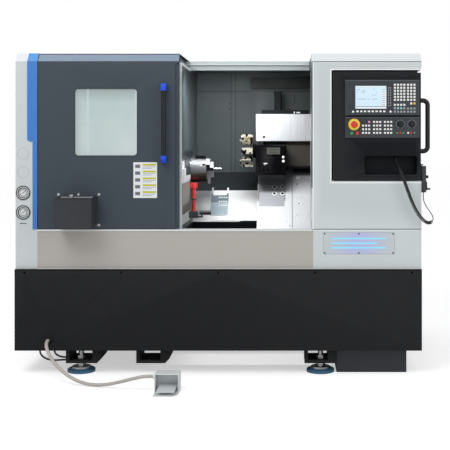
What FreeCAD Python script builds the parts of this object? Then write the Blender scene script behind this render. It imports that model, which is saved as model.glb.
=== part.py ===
import FreeCAD, Part
import math
import os
from FreeCAD import Vector

# A turning lathe with a slanted bed behind a sliding door, in millimetres.
# X runs along the spindle to the right, Y to the back and Z up. Sizes are written with the front
# plane at y = 0 and the middle of the housing at x = 0; place() then puts the origin at the
# bottom centre of the whole machine.
# On the slanted bed, s runs up the slope to the back and n stands square on it. Its plane n = 0
# meets the floor at ORIGIN_Y, which is placed from the back of the housing.

# housing
HALF_WIDTH = 1130
FLOOR_GAP = 138          # underside of the base above the floor
BASE_TOP = 589
SILL_TOP = 809
UPPER_HEIGHT = 982       # sill to roof
ROOF = SILL_TOP + UPPER_HEIGHT
EDGE_HEIGHT, EDGE_DEPTH = 47, 40         # of the sloped top edge
EDGE_TOP = ROOF - EDGE_HEIGHT
DEPTH = 1200             # front plane to the back of the housing
ORIGIN_Y = DEPTH - 1200
SHEET = 3
BASE_PROUD = 20
BASE_WALL = 6
PANEL_TOP = SILL_TOP - 9
LEFT_COLUMN = 121 - HALF_WIDTH           # right edge of the left column
OPEN_LEFT = -210
OPEN_RIGHT = HALF_WIDTH - 610            # left edge of the right column
WALL_X = -222            # working face of the wall beside the chuck
BACK_Y = DEPTH - 115     # working face of the back wall
HOOD_Y = 580             # front of the fixed roof
HOOD_LOW, HOOD_LIP = ROOF - 55, 40
INNER_TOP = ROOF - 31    # top of the sheets inside the housing
POST_TOP = INNER_TOP - 32
RUN = 0.05               # radial gap of a running fit
GAP = 0.3                # gap between parts that move past each other

# feet
FOOT_X = (-782, HALF_WIDTH - 560)
FOOT_Y = (88, DEPTH - 140)
PAD_R, PAD_H = 78, 22
FOOT_DISC_R, FOOT_DISC_H = 52, 8
SCREW_R = 15
NUT_AF, NUT_H = 46, 18
BRACKET_LOW, BRACKET_FLOOR = 57, 18
BRACKETS = ((-857, -659), (-463, -278), (HALF_WIDTH - 651, HALF_WIDTH - 470))
BRACKET_DEPTH = 180
BRACKET_Y = (30, DEPTH - 230)
BRACKET_CORNER = 24
BASE_FLANGE, FLANGE_W = 8, 120
CHUTE = (-150, 450, 120, 420)            # chip opening through the deck and the chip pan
HOLE_EDGE, HOLE_DOWN = 54, 17

# coolant tank
TANK = (HALF_WIDTH - 470, HALF_WIDTH - 76, 60, DEPTH + 130)
TANK_TOP = 130
TANK_WALL = 3
PUMP_AT = (HALF_WIDTH - 270, DEPTH + 66)
PUMP_R, PUMP_FLANGE = 55, 8
PUMP_H = 210

# spindle line
AXIS_Y, AXIS_Z = ORIGIN_Y + 640, 1126
HEAD_X = (-640, -240)
HEAD_HALF_Y, HEAD_HIGH = 165, 170
BED_TOP = 930
BEARING_R, JOURNAL_R, SPINDLE_BORE = 70, 45, 28
CHUCK_BORE = SPINDLE_BORE + 2
BEARING_W = 40
NOSE_R, NOSE_X = 75, -213
SPINDLE_END = -740
CHUCK_R, CHUCK_END = 82.5, -117
JAW_END, JAW_W = -75, 34
JAW_ROOT = 14            # depth of the jaw's foot in the chuck
BAR_R, BAR_END = 7.5, -29
CYLINDER_X, CYLINDER_R = (-870, -740), 75
PULLEY_X = (-712, -664)
PULLEY_R, MOTOR_PULLEY_R = 90, 60
BELT_T = 6
MOTOR_Z, MOTOR_HALF, MOTOR_X = 765, 100, (-990, -720)
MOTOR_SHAFT_R = 19
RING_R, RING_OUT = (86, 96), 6

# slanted bed, as s and n
BED_N = -90
BED_FRONT_Y, BED_BACK_Y = ORIGIN_Y + 780, ORIGIN_Y + 1160
BED_S_TOP = 1400
BED_X = (-240, HALF_WIDTH - 160)
Z_RAIL_S = (1090, 1325)
RAIL_W, RAIL_H = 24, 30
TRUCK_W, TRUCK_L = 62, 60
Z_SCREW_S, Z_SCREW_R = 1207, 16
Z_SCREW_N = -68
SADDLE_X = (195, 422)
SADDLE_LOW_N, SADDLE_MID_N, SADDLE_TOP_N = -55, 20, 95
SADDLE_S = (930, 1360)
SADDLE_BACK_Y = ORIGIN_Y + 1070
COVER_S = (1107, 1366)
COVER_N = 5
COVER_T = 2
APRON_N, APRON_S = 157, (913, 1145)
X_RAIL_X = (230, 338)
X_RAIL_H = 18
X_RAIL_S = (1112, 1545)
X_SCREW_R = 10
SLIDE_X = (200, 368)
SLIDE_S = (1312, 1502)
SLIDE_TOP_N = 240
TURRET_S, TURRET_N = 1407, 343.7
TURRET_HALF = 86
TURRET_BODY_X = (183, 371)
DISC_R, DISC_X = 72, (118, 165)
STATIONS = 8
BLOCK_OUT = 103
UPPER_COVER = (183, 531, ORIGIN_Y + 762, ORIGIN_Y + 1040, 1299, 1470)
DUCT = (297, 345, ORIGIN_Y + 930, ORIGIN_Y + 975)
DUCT_TOP = 1625
DUCT_FOOT = (215, 520, ORIGIN_Y + 900, ORIGIN_Y + 1010)
X_SCREW_UP = 14
SERVO_N = 385
TRAVEL = (-110, 240)
APRON_TOP_S = 1392
LEFT_COVER_L, RIGHT_COVER_L = 300, 358
RIGHT_FIXED_X = SADDLE_X[1] + TRAVEL[1] + 5
MIDDLE_COVER = (-50, 100)
SHIELD_S = 1100
SIDE_Y = ORIGIN_Y + 800
ARM_X, ARM_Y, ARM_Z = -194, ORIGIN_Y + 580, (866, 1042)
STRAINER_X, STRAINER_S, STRAINER_TAB = (-113, -1), (1148, 1319), 12
TURRET_UP, TURRET_DOWN = 37, 153

# door
DOOR_X = (LEFT_COLUMN + 4, -221)
DOOR_LOW = SILL_TOP + 3
DOOR_FOLD = 38
DOOR_ROOF_Y = HOOD_Y - 5
SHOE_L, SHOE_PLACES = 40, (60, 120)
WINDOW = (DOOR_X[0] + 200, DOOR_X[1] - 226, ROOF - 577, ROOF - 193)
WINDOW_R = 25
PANE_T = 6
PANE_LAP = 18
SEAL_W = 7
HANDLE_X, HANDLE_LOW, HANDLE_HIGH = DOOR_X[1] - 79, ROOF - 611, ROOF - 171
HANDLE_R, HANDLE_OUT = 13, 46
HANDLE_END = 40
TOOL_BOX = (DOOR_X[0] + 128, DOOR_X[0] + 331, -160, DOOR_LOW + 16, DOOR_LOW + 180)

# operating side
BOX_TOP = ROOF - 97
BOX_X, BOX_Z, BOX_DEPTH = (HALF_WIDTH - 498, HALF_WIDTH - 3), (BOX_TOP - 613, BOX_TOP), 190
RECESS = (BOX_X[0] - 3, BOX_Z[0] - 3, BOX_Z[1] + 3)
PIVOT_AT, PIVOT_R, PIVOT_COLLAR_R = (BOX_X[0] + 6, 6), 3, 5.5
UNIT_X = (BOX_X[0] + 72, BOX_X[0] + 487)
UNIT_Z, LOWER_Z = (BOX_TOP - 250, BOX_TOP - 53), (BOX_TOP - 375, BOX_TOP - 259)
UNIT_PROUD, UNIT_RIM = 8, 12
POCKET = (BOX_X[0] + 181, BOX_X[0] + 473, BOX_TOP - 579, BOX_TOP - 475)
POCKET_DEPTH, POCKET_R = 60, 14

# small fixed things
GAUGE_X, GAUGE_Z = 43 - HALF_WIDTH, (1013, 904)
GAUGE_BEZEL_R, GAUGE_R = 41, 27
BAR_HOLE_R = 45
TRIM_T = 2
TRIM_WIDE, TRIM_NARROW, TRIM_STEP = LEFT_COLUMN - 56, LEFT_COLUMN - 26, (1284, 1308)
SEAM_X = OPEN_RIGHT + 7  # between the front apron and the right lower panel
RAIL_PROUD = 4
GUIDE_Z, GUIDE_T = ROOF - 23, 6
TROUGH_LOW, TROUGH_TOP = BASE_TOP + SHEET, 784
GLAND_AT, GLAND_R, GLAND_OUT = (-940, 199), 14, 20
CONDUIT_R = 9
WALL_GUARD_Y = ARM_Y - 25
CORD_R, CURL_R = 2.6, 10.5
CURL_FROM, CURL_TO = 3, 14
CORD_ROUTE = [(HALF_WIDTH + x, y, BOX_TOP + z) for x, y, z in (
    (-138, 30, -487), (-138, 30, -505), (-134, -4, -524), (-127, -34, -542), (-118, -48, -566),
    (-107, -54, -599), (-94, -56, -635), (-80, -57, -676), (-64, -57, -719), (-45, -56, -762),
    (-23, -55, -800), (1, -53, -828), (24, -50, -845), (48, -44, -843), (61, -36, -826),
    (57, -26, -804), (41, -14, -779), (24, 0, -753), (14, 16, -726), (14, 28, -702),
    (14, 28, -679))]
HAND_X = (HALF_WIDTH + 3, HALF_WIDTH + 25)
HAND_BOX = (-8, 64, BOX_TOP - 679, BOX_TOP - 532)
WHEEL_AT, PICK_AT = (28, HAND_BOX[2] + 35), (28, HAND_BOX[2] + 86)
CONDUIT_ROUTE = [(-940, -40, 199), (-940, -68, 199), (-932, -108, 180), (-910, -140, 147),
                 (-878, -168, 112), (-836, -194, 77), (-783, -218, 45), (-719, -240, 20),
                 (-645, -261, 10), (-566, -286, 19), (-489, -314, 41), (-420, -334, 63),
                 (-364, -346, 78), (-316, -346, 78)]
HOSE_ROUTES = [[(-1003, 30, 146), (-1003, 30, 114), (-984, 34, 90), (-955, 42, 74),
                (-918, 54, 68), (-884, 60, 70), (-857, 60, 70)],
               [(-921, 30, 146), (-921, 30, 118), (-906, 40, 99), (-882, 54, 86),
                (-857, 54, 86)]]
PEDAL, PEDAL_H, PEDAL_PIN_R = (-302, -176, -460, -300), 100, 4
BOX_HANDLE_Z = (BOX_TOP - 463, BOX_TOP - 153)
BOX_HANDLE_R, BOX_HANDLE_OUT, BOX_HANDLE_BEND = 13, 56, 26
SCREEN = (UNIT_X[0] + 56, UNIT_X[0] + 230, UNIT_Z[0] + 37, UNIT_Z[0] + 164)
KEY_PROUD = 1.5
KEYS_DRAWN = (704, 1694)  # left edge of the panels and top of the box that the keys are drawn for
STOP_AT, STOP_RING_R, STOP_R, STOP_STEM_R = (UNIT_X[0] + 51, LOWER_Z[0] + 74), 31.5, 19.5, 11
START_AT, HALT_AT = (UNIT_X[0] + 37, LOWER_Z[0] + 25), (UNIT_X[0] + 68, LOWER_Z[0] + 25)
BUTTON_R = 9
KNOB_X, KNOB_Z = (UNIT_X[0] + 308, UNIT_X[0] + 371), LOWER_Z[0] + 76
KNOB_R, KNOB_STEM_R = 16, 4
DOOR_STRIP = 19
COLUMN_WALL_Y = 300
HOSE_R, HOSE_Y, HOSE_START_X = 5, 30, (-1003, -921)

ROOT2 = math.sqrt(2)
parts = {}


def box(x0, x1, y0, y1, z0, z1):
    """A block between two corners."""
    return Part.makeBox(x1 - x0, y1 - y0, z1 - z0, Vector(x0, y0, z0))


def rod(radius, start, end, hole=0):
    """A round bar from start to end, with a bore if hole is a radius."""
    start, end = Vector(*start), Vector(*end)
    run = end - start
    solid = Part.makeCylinder(radius, run.Length, start, run)
    if hole:
        solid = solid.cut(Part.makeCylinder(hole, run.Length, start, run))
    return solid


def turned(profile, start, direction):
    """A turned piece: profile is (distance along, radius) pairs from its axis and back to it."""
    points = [Vector(radius, 0, along) for along, radius in profile]
    face = Part.Face(Part.makePolygon(points + points[:1]))
    solid = face.revolve(Vector(0, 0, 0), Vector(0, 0, 1), 360)
    turn = FreeCAD.Rotation(Vector(0, 0, 1), Vector(*direction))
    solid.Placement = FreeCAD.Placement(Vector(*start), turn)
    return solid


def along_x(outline, x0, x1):
    """A closed outline of (y, z) pairs, drawn out from x0 to x1."""
    points = [Vector(x0, y, z) for y, z in outline]
    return Part.Face(Part.makePolygon(points + points[:1])).extrude(Vector(x1 - x0, 0, 0))


def along_y(outline, y0, y1):
    """A closed outline of (x, z) pairs, drawn out from y0 to y1."""
    points = [Vector(x, y0, z) for x, z in outline]
    return Part.Face(Part.makePolygon(points + points[:1])).extrude(Vector(0, y1 - y0, 0))


def bed(s, n):
    """The y and z of a place on the slanted bed."""
    return ORIGIN_Y + (s - n) / ROOT2, (s + n) / ROOT2


def slope_box(x0, x1, s0, s1, n0, n1):
    """A block that lies square to the slanted bed."""
    return along_x([bed(s0, n0), bed(s1, n0), bed(s1, n1), bed(s0, n1)], x0, x1)


def rounded(x0, x1, y0, y1, z0, z1, radius, axis="y"):
    """A block whose four edges along one axis are rounded."""
    solid = box(x0, x1, y0, y1, z0, z1)
    way = {"x": Vector(1, 0, 0), "y": Vector(0, 1, 0), "z": Vector(0, 0, 1)}[axis]
    edges = [e for e in solid.Edges if abs(e.tangentAt(e.FirstParameter).dot(way)) > 0.9]
    return solid.makeFillet(radius, edges)


def hexagon(x, y, across, z0, z1, hole):
    """A hexagon nut that stands upright."""
    corners = [Vector(x, y, z0) + Vector(across / math.sqrt(3), 0, 0)]
    for step in range(1, 6):
        turn = math.radians(60 * step)
        reach = across / math.sqrt(3)
        corners.append(Vector(x + reach * math.cos(turn), y + reach * math.sin(turn), z0))
    solid = Part.Face(Part.makePolygon(corners + corners[:1])).extrude(Vector(0, 0, z1 - z0))
    return solid.cut(rod(hole, (x, y, z0), (x, y, z1)))


def joined(pieces):
    """Several touching solids as one."""
    solid = pieces[0].fuse(pieces[1:]) if len(pieces) > 1 else pieces[0]
    return solid.removeSplitter()


def group(pieces):
    """Separate solids that share a node."""
    return Part.makeCompound(pieces)


def base():
    """Skirted base with a deck, bottom flanges and a chip opening, its brackets and its feet."""
    front, back = -BASE_PROUD, DEPTH
    shell = box(-HALF_WIDTH, HALF_WIDTH, front, back, FLOOR_GAP, BASE_TOP)
    inside = box(-HALF_WIDTH + BASE_WALL, HALF_WIDTH - BASE_WALL, front + BASE_WALL,
                 back - BASE_WALL, FLOOR_GAP + BASE_FLANGE, BASE_TOP - BASE_WALL)
    flange = BRACKET_Y[0] + BRACKET_DEPTH + 20
    below = box(-HALF_WIDTH + FLANGE_W, HALF_WIDTH - FLANGE_W, flange, back - flange,
                FLOOR_GAP, FLOOR_GAP + BASE_FLANGE)
    chute = box(*CHUTE, BASE_TOP - BASE_WALL, BASE_TOP)
    hole_z = BASE_TOP - HOLE_DOWN
    holes = [rod(6, (x, front, hole_z), (x, front + BASE_WALL, hole_z))
             for x in spread(HOLE_EDGE - HALF_WIDTH, HALF_WIDTH - HOLE_EDGE, 5)]
    hose_holes = [rod(HOSE_R + GAP, (x, HOSE_Y, FLOOR_GAP), (x, HOSE_Y, FLOOR_GAP + BASE_FLANGE))
                  for x in HOSE_START_X]
    housing = shell.cut([inside, below, chute] + holes + hose_holes)

    brackets = []
    for y0 in BRACKET_Y:
        for x0, x1 in BRACKETS:
            cut_corner = BRACKET_CORNER if x0 < 0 else 0
            outline = [(x0, BRACKET_LOW), (x1 - cut_corner, BRACKET_LOW)]
            if cut_corner:
                outline.append((x1, BRACKET_LOW + cut_corner))
            outline += [(x1, FLOOR_GAP), (x0, FLOOR_GAP)]
            block = along_y(outline, y0, y0 + BRACKET_DEPTH)
            window = box(x0 + 20, x1 - 50, y0 - 1, y0 + BRACKET_DEPTH + 1,
                         BRACKET_LOW + BRACKET_FLOOR, FLOOR_GAP - BASE_FLANGE)
            holes = [rod(SCREW_R + GAP, (x, y, BRACKET_LOW), (x, y, BRACKET_LOW + BRACKET_FLOOR))
                     for x in FOOT_X for y in FOOT_Y if x0 < x < x1 and y0 < y < y0 + BRACKET_DEPTH]
            brackets.append(block.cut([window] + holes))
    gland = turned([(0, 0), (0, GLAND_R + 6), (8, GLAND_R + 6), (GLAND_OUT, CONDUIT_R + 3),
                    (GLAND_OUT, 0)], (GLAND_AT[0], front, GLAND_AT[1]), (0, -1, 0))
    parts["base_housing"] = joined([housing, gland] + brackets)

    pads, screws = [], []
    for x in FOOT_X:
        for y in FOOT_Y:
            pads.append(turned([(0, 0), (0, PAD_R), (PAD_H - 7, PAD_R), (PAD_H, PAD_R - 14),
                                (PAD_H, 0)], (x, y, 0), (0, 0, 1)))
            disc = rod(FOOT_DISC_R, (x, y, PAD_H), (x, y, PAD_H + FOOT_DISC_H))
            screw = rod(SCREW_R, (x, y, PAD_H), (x, y, FLOOR_GAP - 20))
            nuts = [hexagon(x, y, NUT_AF, low, low + NUT_H, SCREW_R)
                    for low in (BRACKET_LOW - NUT_H, BRACKET_LOW + BRACKET_FLOOR)]
            screws.append(joined([screw, disc] + nuts))
    parts["foot_pads"] = group(pads)
    parts["foot_screws"] = group(screws)


def tank():
    """Coolant tank under the base, and the pump on its lid behind the machine."""
    x0, x1, y0, y1 = TANK
    wall = TANK_WALL
    lid_y = DEPTH + 8
    pump_x, pump_y = PUMP_AT
    stem_r = PUMP_R * 0.6
    body = box(x0, x1, y0, y1, 0, TANK_TOP)
    body = body.cut(box(x0 + wall, x1 - wall, y0 + wall, y1 - wall, wall, TANK_TOP))
    lid = box(x0, x1, lid_y, y1, TANK_TOP, TANK_TOP + wall)
    lid = lid.cut(rod(stem_r + GAP, (pump_x, pump_y, TANK_TOP),
                      (pump_x, pump_y, TANK_TOP + wall)))
    parts["coolant_tank"] = joined([body, lid])
    seat = TANK_TOP + wall
    cap = PUMP_H - 40
    profile = [(20 - seat, 0), (20 - seat, stem_r), (0, stem_r), (0, PUMP_R + PUMP_FLANGE),
               (10, PUMP_R + PUMP_FLANGE), (10, PUMP_R), (cap, PUMP_R), (cap, PUMP_R + 6),
               (PUMP_H, PUMP_R + 6), (PUMP_H, 0)]
    parts["coolant_pump"] = turned(profile, (pump_x, pump_y, seat), (0, 0, 1))


def corner_profile(low, inset, top_y, top=ROOF):
    """Front, sloped edge and roof in the (y, z) plane, moved inwards by inset."""
    return [(inset, low), (inset, EDGE_TOP - inset * 0.4), (EDGE_DEPTH + inset * 0.4, top - inset),
            (top_y, top - inset)]


def sheet_profile(low, inset, thick, top_y):
    """The outline of one folded sheet that follows corner_profile."""
    outer = corner_profile(low, inset, top_y)
    return outer + corner_profile(low, inset + thick, top_y)[::-1]


def enclosure():
    """Fixed sheet covers round the work space."""
    left = -HALF_WIDTH
    outer = corner_profile(BASE_TOP, 0, DEPTH) + [(DEPTH, BASE_TOP)]
    inner = corner_profile(BASE_TOP, SHEET, DEPTH - SHEET) + [(DEPTH - SHEET, BASE_TOP)]
    left_cover = along_x(outer, left, LEFT_COLUMN)
    left_cover = left_cover.cut(along_x(inner, left + SHEET, LEFT_COLUMN))
    holes = [rod(GAUGE_BEZEL_R - 3, (GAUGE_X, 0, z), (GAUGE_X, SHEET, z)) for z in GAUGE_Z]
    holes.append(rod(BAR_HOLE_R, (left, AXIS_Y, AXIS_Z), (left + SHEET, AXIS_Y, AXIS_Z)))
    holes.append(box(GAUGE_X - 19, GAUGE_X + 19, 0, SHEET, 841, 845))
    left_cover = left_cover.cut(holes)

    step_low, step_high = TRIM_STEP
    wide, narrow = TRIM_WIDE, TRIM_NARROW
    trim = along_x(sheet_profile(SILL_TOP, -TRIM_T, TRIM_T, 120), wide, LEFT_COLUMN)
    away = along_y([(wide, SILL_TOP), (narrow, SILL_TOP), (narrow, step_low), (wide, step_high)],
                   -TRIM_T, 0)
    parts["left_end_cover"] = joined([left_cover, trim.cut(away)])

    taupe = box(LEFT_COLUMN, SEAM_X, 0, SHEET, BASE_TOP, PANEL_TOP)
    folds = [box(LEFT_COLUMN, SEAM_X, SHEET, 24, z, z + SHEET)
             for z in (BASE_TOP, PANEL_TOP - SHEET)]
    parts["front_apron"] = joined([taupe] + folds)

    sill = box(LEFT_COLUMN, OPEN_RIGHT, -RAIL_PROUD, 90, PANEL_TOP, SILL_TOP)
    sill = sill.cut(box(LEFT_COLUMN, OPEN_RIGHT, 50, 90, PANEL_TOP + SHEET, SILL_TOP))
    y0, y1 = 60, HOOD_Y - 3
    low = PANEL_TOP + SHEET
    turn = INNER_TOP - 30
    fixed = [(y0, low), (y0, turn), (y0 + 25, INNER_TOP), (y1, INNER_TOP), (y1, INNER_TOP - SHEET),
             (y0 + 26.5, INNER_TOP - SHEET), (y0 + SHEET, turn - 1), (y0 + SHEET, low)]
    fixed_cover = along_x(fixed, LEFT_COLUMN, WALL_X)

    frame_x = (WALL_X, OPEN_LEFT)
    post = box(*frame_x, 45, y0 + 4, SILL_TOP, POST_TOP)
    top = box(*frame_x, 45, HOOD_Y, POST_TOP, EDGE_TOP - 2)
    guide = box(LEFT_COLUMN, OPEN_RIGHT, HOOD_Y - 14, HOOD_Y, GUIDE_Z, GUIDE_Z + GUIDE_T)
    parts["door_frame"] = group([joined([sill, post, top]), guide])

    wall_top = INNER_TOP - SHEET
    wall = box(WALL_X - SHEET, WALL_X, y0 + SHEET, BACK_Y, TROUGH_LOW, wall_top)
    wall = wall.cut(box(WALL_X - SHEET, WALL_X, y0 + SHEET, 92, TROUGH_LOW, SILL_TOP))
    wall = wall.cut([rod(RING_R[0], (WALL_X - SHEET, AXIS_Y, AXIS_Z), (WALL_X, AXIS_Y, AXIS_Z)),
                     box(WALL_X - SHEET, WALL_X, HOOD_Y, HOOD_Y + HOOD_LIP, HOOD_LOW, wall_top),
                     bed_notch(WALL_X - SHEET, WALL_X)])
    ring = rod(RING_R[1], (WALL_X, AXIS_Y, AXIS_Z), (WALL_X + RING_OUT, AXIS_Y, AXIS_Z), RING_R[0])
    guards = [along_x([(170, 1060), (170, 1142), (WALL_GUARD_Y, 1142), (WALL_GUARD_Y, 1072)],
                      WALL_X, WALL_X + 10),
              along_x([(170, 930), (170, 1060), (WALL_GUARD_Y, 1072), (WALL_GUARD_Y, 952)],
                      WALL_X, WALL_X + 6)]
    clear_of_ring = rod(RING_R[1] + 4, (WALL_X, AXIS_Y, AXIS_Z), (WALL_X + 12, AXIS_Y, AXIS_Z))
    guards = [guard.cut(clear_of_ring) for guard in guards]
    parts["spindle_side_wall"] = joined([wall, fixed_cover, ring] + guards)

    back = box(WALL_X - SHEET, HALF_WIDTH - SHEET, BACK_Y, BACK_Y + SHEET, BACK_Y - ORIGIN_Y - 7,
               wall_top)
    top_s = (BACK_Y - ORIGIN_Y) * ROOT2 + COVER_N
    guard = slope_box(WALL_X, HALF_WIDTH - 53, COVER_S[1], top_s, COVER_N, COVER_N + COVER_T)
    leg = slope_box(WALL_X, HALF_WIDTH - 53, COVER_S[1] + 12, COVER_S[1] + 15, BED_N, COVER_N)
    lamp = rounded(132, 700, BACK_Y - 45, BACK_Y, INNER_TOP - 114, INNER_TOP - 38, 22)
    parts["back_wall"] = joined([back, guard, leg, lamp])
    hood = along_x([(HOOD_Y, HOOD_LOW), (HOOD_Y, ROOF), (DEPTH, ROOF), (DEPTH, ROOF - SHEET),
                    (HOOD_Y + SHEET, ROOF - SHEET), (HOOD_Y + SHEET, HOOD_LOW + SHEET),
                    (HOOD_Y + HOOD_LIP, HOOD_LOW + SHEET), (HOOD_Y + HOOD_LIP, HOOD_LOW)],
                   LEFT_COLUMN, OPEN_RIGHT)
    rear = [box(LEFT_COLUMN, OPEN_RIGHT, DEPTH - SHEET, DEPTH, BASE_TOP, ROOF - SHEET),
            box(OPEN_RIGHT, SEAM_X, DEPTH - SHEET, DEPTH, BASE_TOP, PANEL_TOP)]
    parts["rear_hood"] = joined([hood] + rear)


def bed_notch(x0, x1):
    """The room that the slanted bed takes in a wall across it."""
    return along_x([(BED_FRONT_Y - 8, TROUGH_LOW - 1), bed_front_top(8),
                    bed(BED_S_TOP + 12, BED_N + 8), (BED_BACK_Y, bed(BED_S_TOP, BED_N + 8)[1]),
                    (BED_BACK_Y, TROUGH_LOW - 1)], x0, x1)


def bed_front_top(clear=0):
    """Where the bed's front face meets its slanted top."""
    y = BED_FRONT_Y - clear
    return y, y - ORIGIN_Y + BED_N * ROOT2 + clear * ROOT2


def trough():
    """Chip pan between the front panel and the bed."""
    y0, y1 = 30, BED_FRONT_Y - 10
    x0, x1 = WALL_X, HALF_WIDTH - 50
    low = TROUGH_LOW - SHEET
    pan = box(x0, x1, y0, y1 + SHEET, low, TROUGH_TOP)
    pan = pan.cut(box(x0 + SHEET, x1 - SHEET, y0 + SHEET, y1, TROUGH_LOW, TROUGH_TOP))
    parts["chip_pan"] = pan.cut(box(*CHUTE, low, TROUGH_LOW))


def bed_casting():
    """Cast bed: a slanted part for the slides and a block for the headstock."""
    x0, x1 = BED_X
    head_x = HEAD_X[0] - 20
    top_y, top_z = bed(BED_S_TOP, BED_N)
    slope = along_x([(BED_FRONT_Y, BASE_TOP), bed_front_top(), (top_y, top_z),
                     (BED_BACK_Y, top_z), (BED_BACK_Y, BASE_TOP)], x0, x1)
    hollow_y, hollow_z = BED_FRONT_Y + 50, BASE_TOP
    hollow = along_x([(hollow_y, hollow_z), (hollow_y, hollow_z + 20),
                      (top_y - 40, top_z - 120), (BED_BACK_Y - 50, top_z - 120),
                      (BED_BACK_Y - 50, hollow_z)], x0 + 40, x1 - 40)
    block = box(head_x, x0, AXIS_Y - HEAD_HALF_Y - 20, BED_BACK_Y, BASE_TOP, BED_TOP)
    core = box(head_x + 50, x0 - 50, AXIS_Y - HEAD_HALF_Y + 30, BED_BACK_Y - 50, BASE_TOP,
               BED_TOP - 60)
    cast = joined([slope, block]).cut([hollow, core])

    rails = [slope_box(-200, x1 - 40, s - RAIL_W / 2, s + RAIL_W / 2, BED_N, BED_N + RAIL_H)
             for s in Z_RAIL_S]
    s, n = Z_SCREW_S, Z_SCREW_N
    screw = rod(Z_SCREW_R, (-190, *bed(s, n)), (x1 + 15, *bed(s, n)))
    parts["bed_screw"] = screw
    bearings = []
    for low in (-185, x1 - 45):
        block = slope_box(low, low + 30, s - 40, s + 40, BED_N, n + 30)
        bearings.append(block.cut(rod(Z_SCREW_R + RUN, (low, *bed(s, n)),
                                      (low + 30, *bed(s, n)))))
    plate = slope_box(x1, x1 + 12, s - 60, s + 60, n - 60, n + 60)
    body = slope_box(x1 + 12, x1 + 132, s - 50, s + 50, n - 50, n + 50)
    servo = joined([plate, body]).cut(rod(Z_SCREW_R + RUN, (x1, *bed(s, n)),
                                          (x1 + 15 + GAP, *bed(s, n))))
    parts["bed_casting"] = joined([cast, servo] + rails + bearings)


def headstock():
    """Headstock, spindle with its chuck, and the belt drive."""
    y, z = AXIS_Y, AXIS_Z

    def on_axis(radius, x0, x1, hole=0):
        return rod(radius, (x0, y, z), (x1, y, z), hole)

    x0, x1 = HEAD_X
    half = HEAD_HALF_Y
    outline = [(y - half, BED_TOP), (y + half, BED_TOP), (y + half, z + HEAD_HIGH - 60),
               (y + half - 60, z + HEAD_HIGH), (y - half + 60, z + HEAD_HIGH),
               (y - half, z + HEAD_HIGH - 60)]
    body = along_x(outline, x0, x1)
    ribs = [box(x, x + 14, side, side + 22, BED_TOP, z + 60)
            for x in range(x0 + 60, x1 - 60, 90) for side in (y - half - 22, y + half)]
    lands = [on_axis(BEARING_R, a, a + BEARING_W, JOURNAL_R + RUN)
             for a in (x0, x1 - BEARING_W)]
    cast = joined([body] + ribs).cut(on_axis(BEARING_R, x0, x1))
    parts["headstock"] = joined([cast] + lands)
    collar = JOURNAL_R - 7
    a, b = (x - SPINDLE_END for x in PULLEY_X)
    tail = SPINDLE_END - CYLINDER_X[0]
    profile = [(-tail, SPINDLE_BORE), (-tail, 45), (20 - tail, 45), (20 - tail, CYLINDER_R),
               (0, CYLINDER_R), (0, collar), (a, collar), (a, PULLEY_R), (b, PULLEY_R),
               (b, collar), (x0 - SPINDLE_END, collar), (x0 - SPINDLE_END, JOURNAL_R),
               (x1 + 4 - SPINDLE_END, JOURNAL_R), (x1 + 4 - SPINDLE_END, NOSE_R),
               (NOSE_X - SPINDLE_END, NOSE_R), (NOSE_X - SPINDLE_END, SPINDLE_BORE)]
    parts["spindle"] = turned(profile, (SPINDLE_END, y, z), (1, 0, 0))

    chuck = on_axis(CHUCK_R, NOSE_X, CHUCK_END, CHUCK_BORE)
    face_hole = [rod(5, (CHUCK_END - 12, *polar(60, a)), (CHUCK_END, *polar(60, a)))
                 for a in (90, -30, 210)]
    slots = [jaw_shape(a, CHUCK_END - JAW_ROOT - GAP, CHUCK_END, 0, CHUCK_R + 1, JAW_W / 2 + GAP)
             for a in JAW_ANGLES]
    parts["chuck_body"] = chuck.cut(face_hole + slots)
    for count, angle in enumerate(JAW_ANGLES, 1):
        foot = jaw_shape(angle, CHUCK_END - JAW_ROOT, CHUCK_END, 26, CHUCK_R - 4, JAW_W / 2)
        block = jaw_shape(angle, CHUCK_END + GAP, JAW_END, BAR_R, 92, JAW_W / 2 + 3)
        step = jaw_shape(angle, CHUCK_END + 22, JAW_END, 52, 92, JAW_W)
        neck = jaw_shape(angle, CHUCK_END - GAP, CHUCK_END + GAP, 26, CHUCK_R - 4, JAW_W / 2)
        narrow = [jaw_wedge(angle, side) for side in (-1, 1)]
        jaw = joined([foot, neck, block]).cut([step] + narrow)
        screw_holes = [jaw_hole(angle, reach) for reach in (34, 66)]
        parts[f"chuck_jaw_{count}"] = jaw.cut(screw_holes)
    parts["work_bar"] = on_axis(BAR_R - RUN, CHUCK_END + 4, BAR_END)

    a, b = PULLEY_X
    shaft = rod(MOTOR_SHAFT_R, (MOTOR_X[1] + GAP, y, MOTOR_Z), (b, y, MOTOR_Z))
    pulley = rod(MOTOR_PULLEY_R, (a, y, MOTOR_Z), (b, y, MOTOR_Z))
    parts["motor_pulley"] = joined([shaft, pulley])
    parts["drive_belt"] = belt(a + 5, b - 5)
    m0, m1 = MOTOR_X
    h = MOTOR_HALF
    motor = rounded(m0, m1, y - h, y + h, MOTOR_Z - h, MOTOR_Z + h, 30, "x")
    foot = box(m0 + 30, m1 - 30, y - h, y + h, BASE_TOP, MOTOR_Z - h + 40)
    parts["spindle_motor"] = joined([motor, foot.cut(box(m0, m1, y - h + 40, y + h - 40,
                                                         BASE_TOP, MOTOR_Z - h - 15))])


JAW_ANGLES = (150, 30, -90)      # the first points up to the front, the last down


def polar(reach, angle):
    """The y and z of a place round the spindle, with 0 degrees to the back."""
    turn = math.radians(angle)
    return AXIS_Y + reach * math.cos(turn), AXIS_Z + reach * math.sin(turn)


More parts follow.
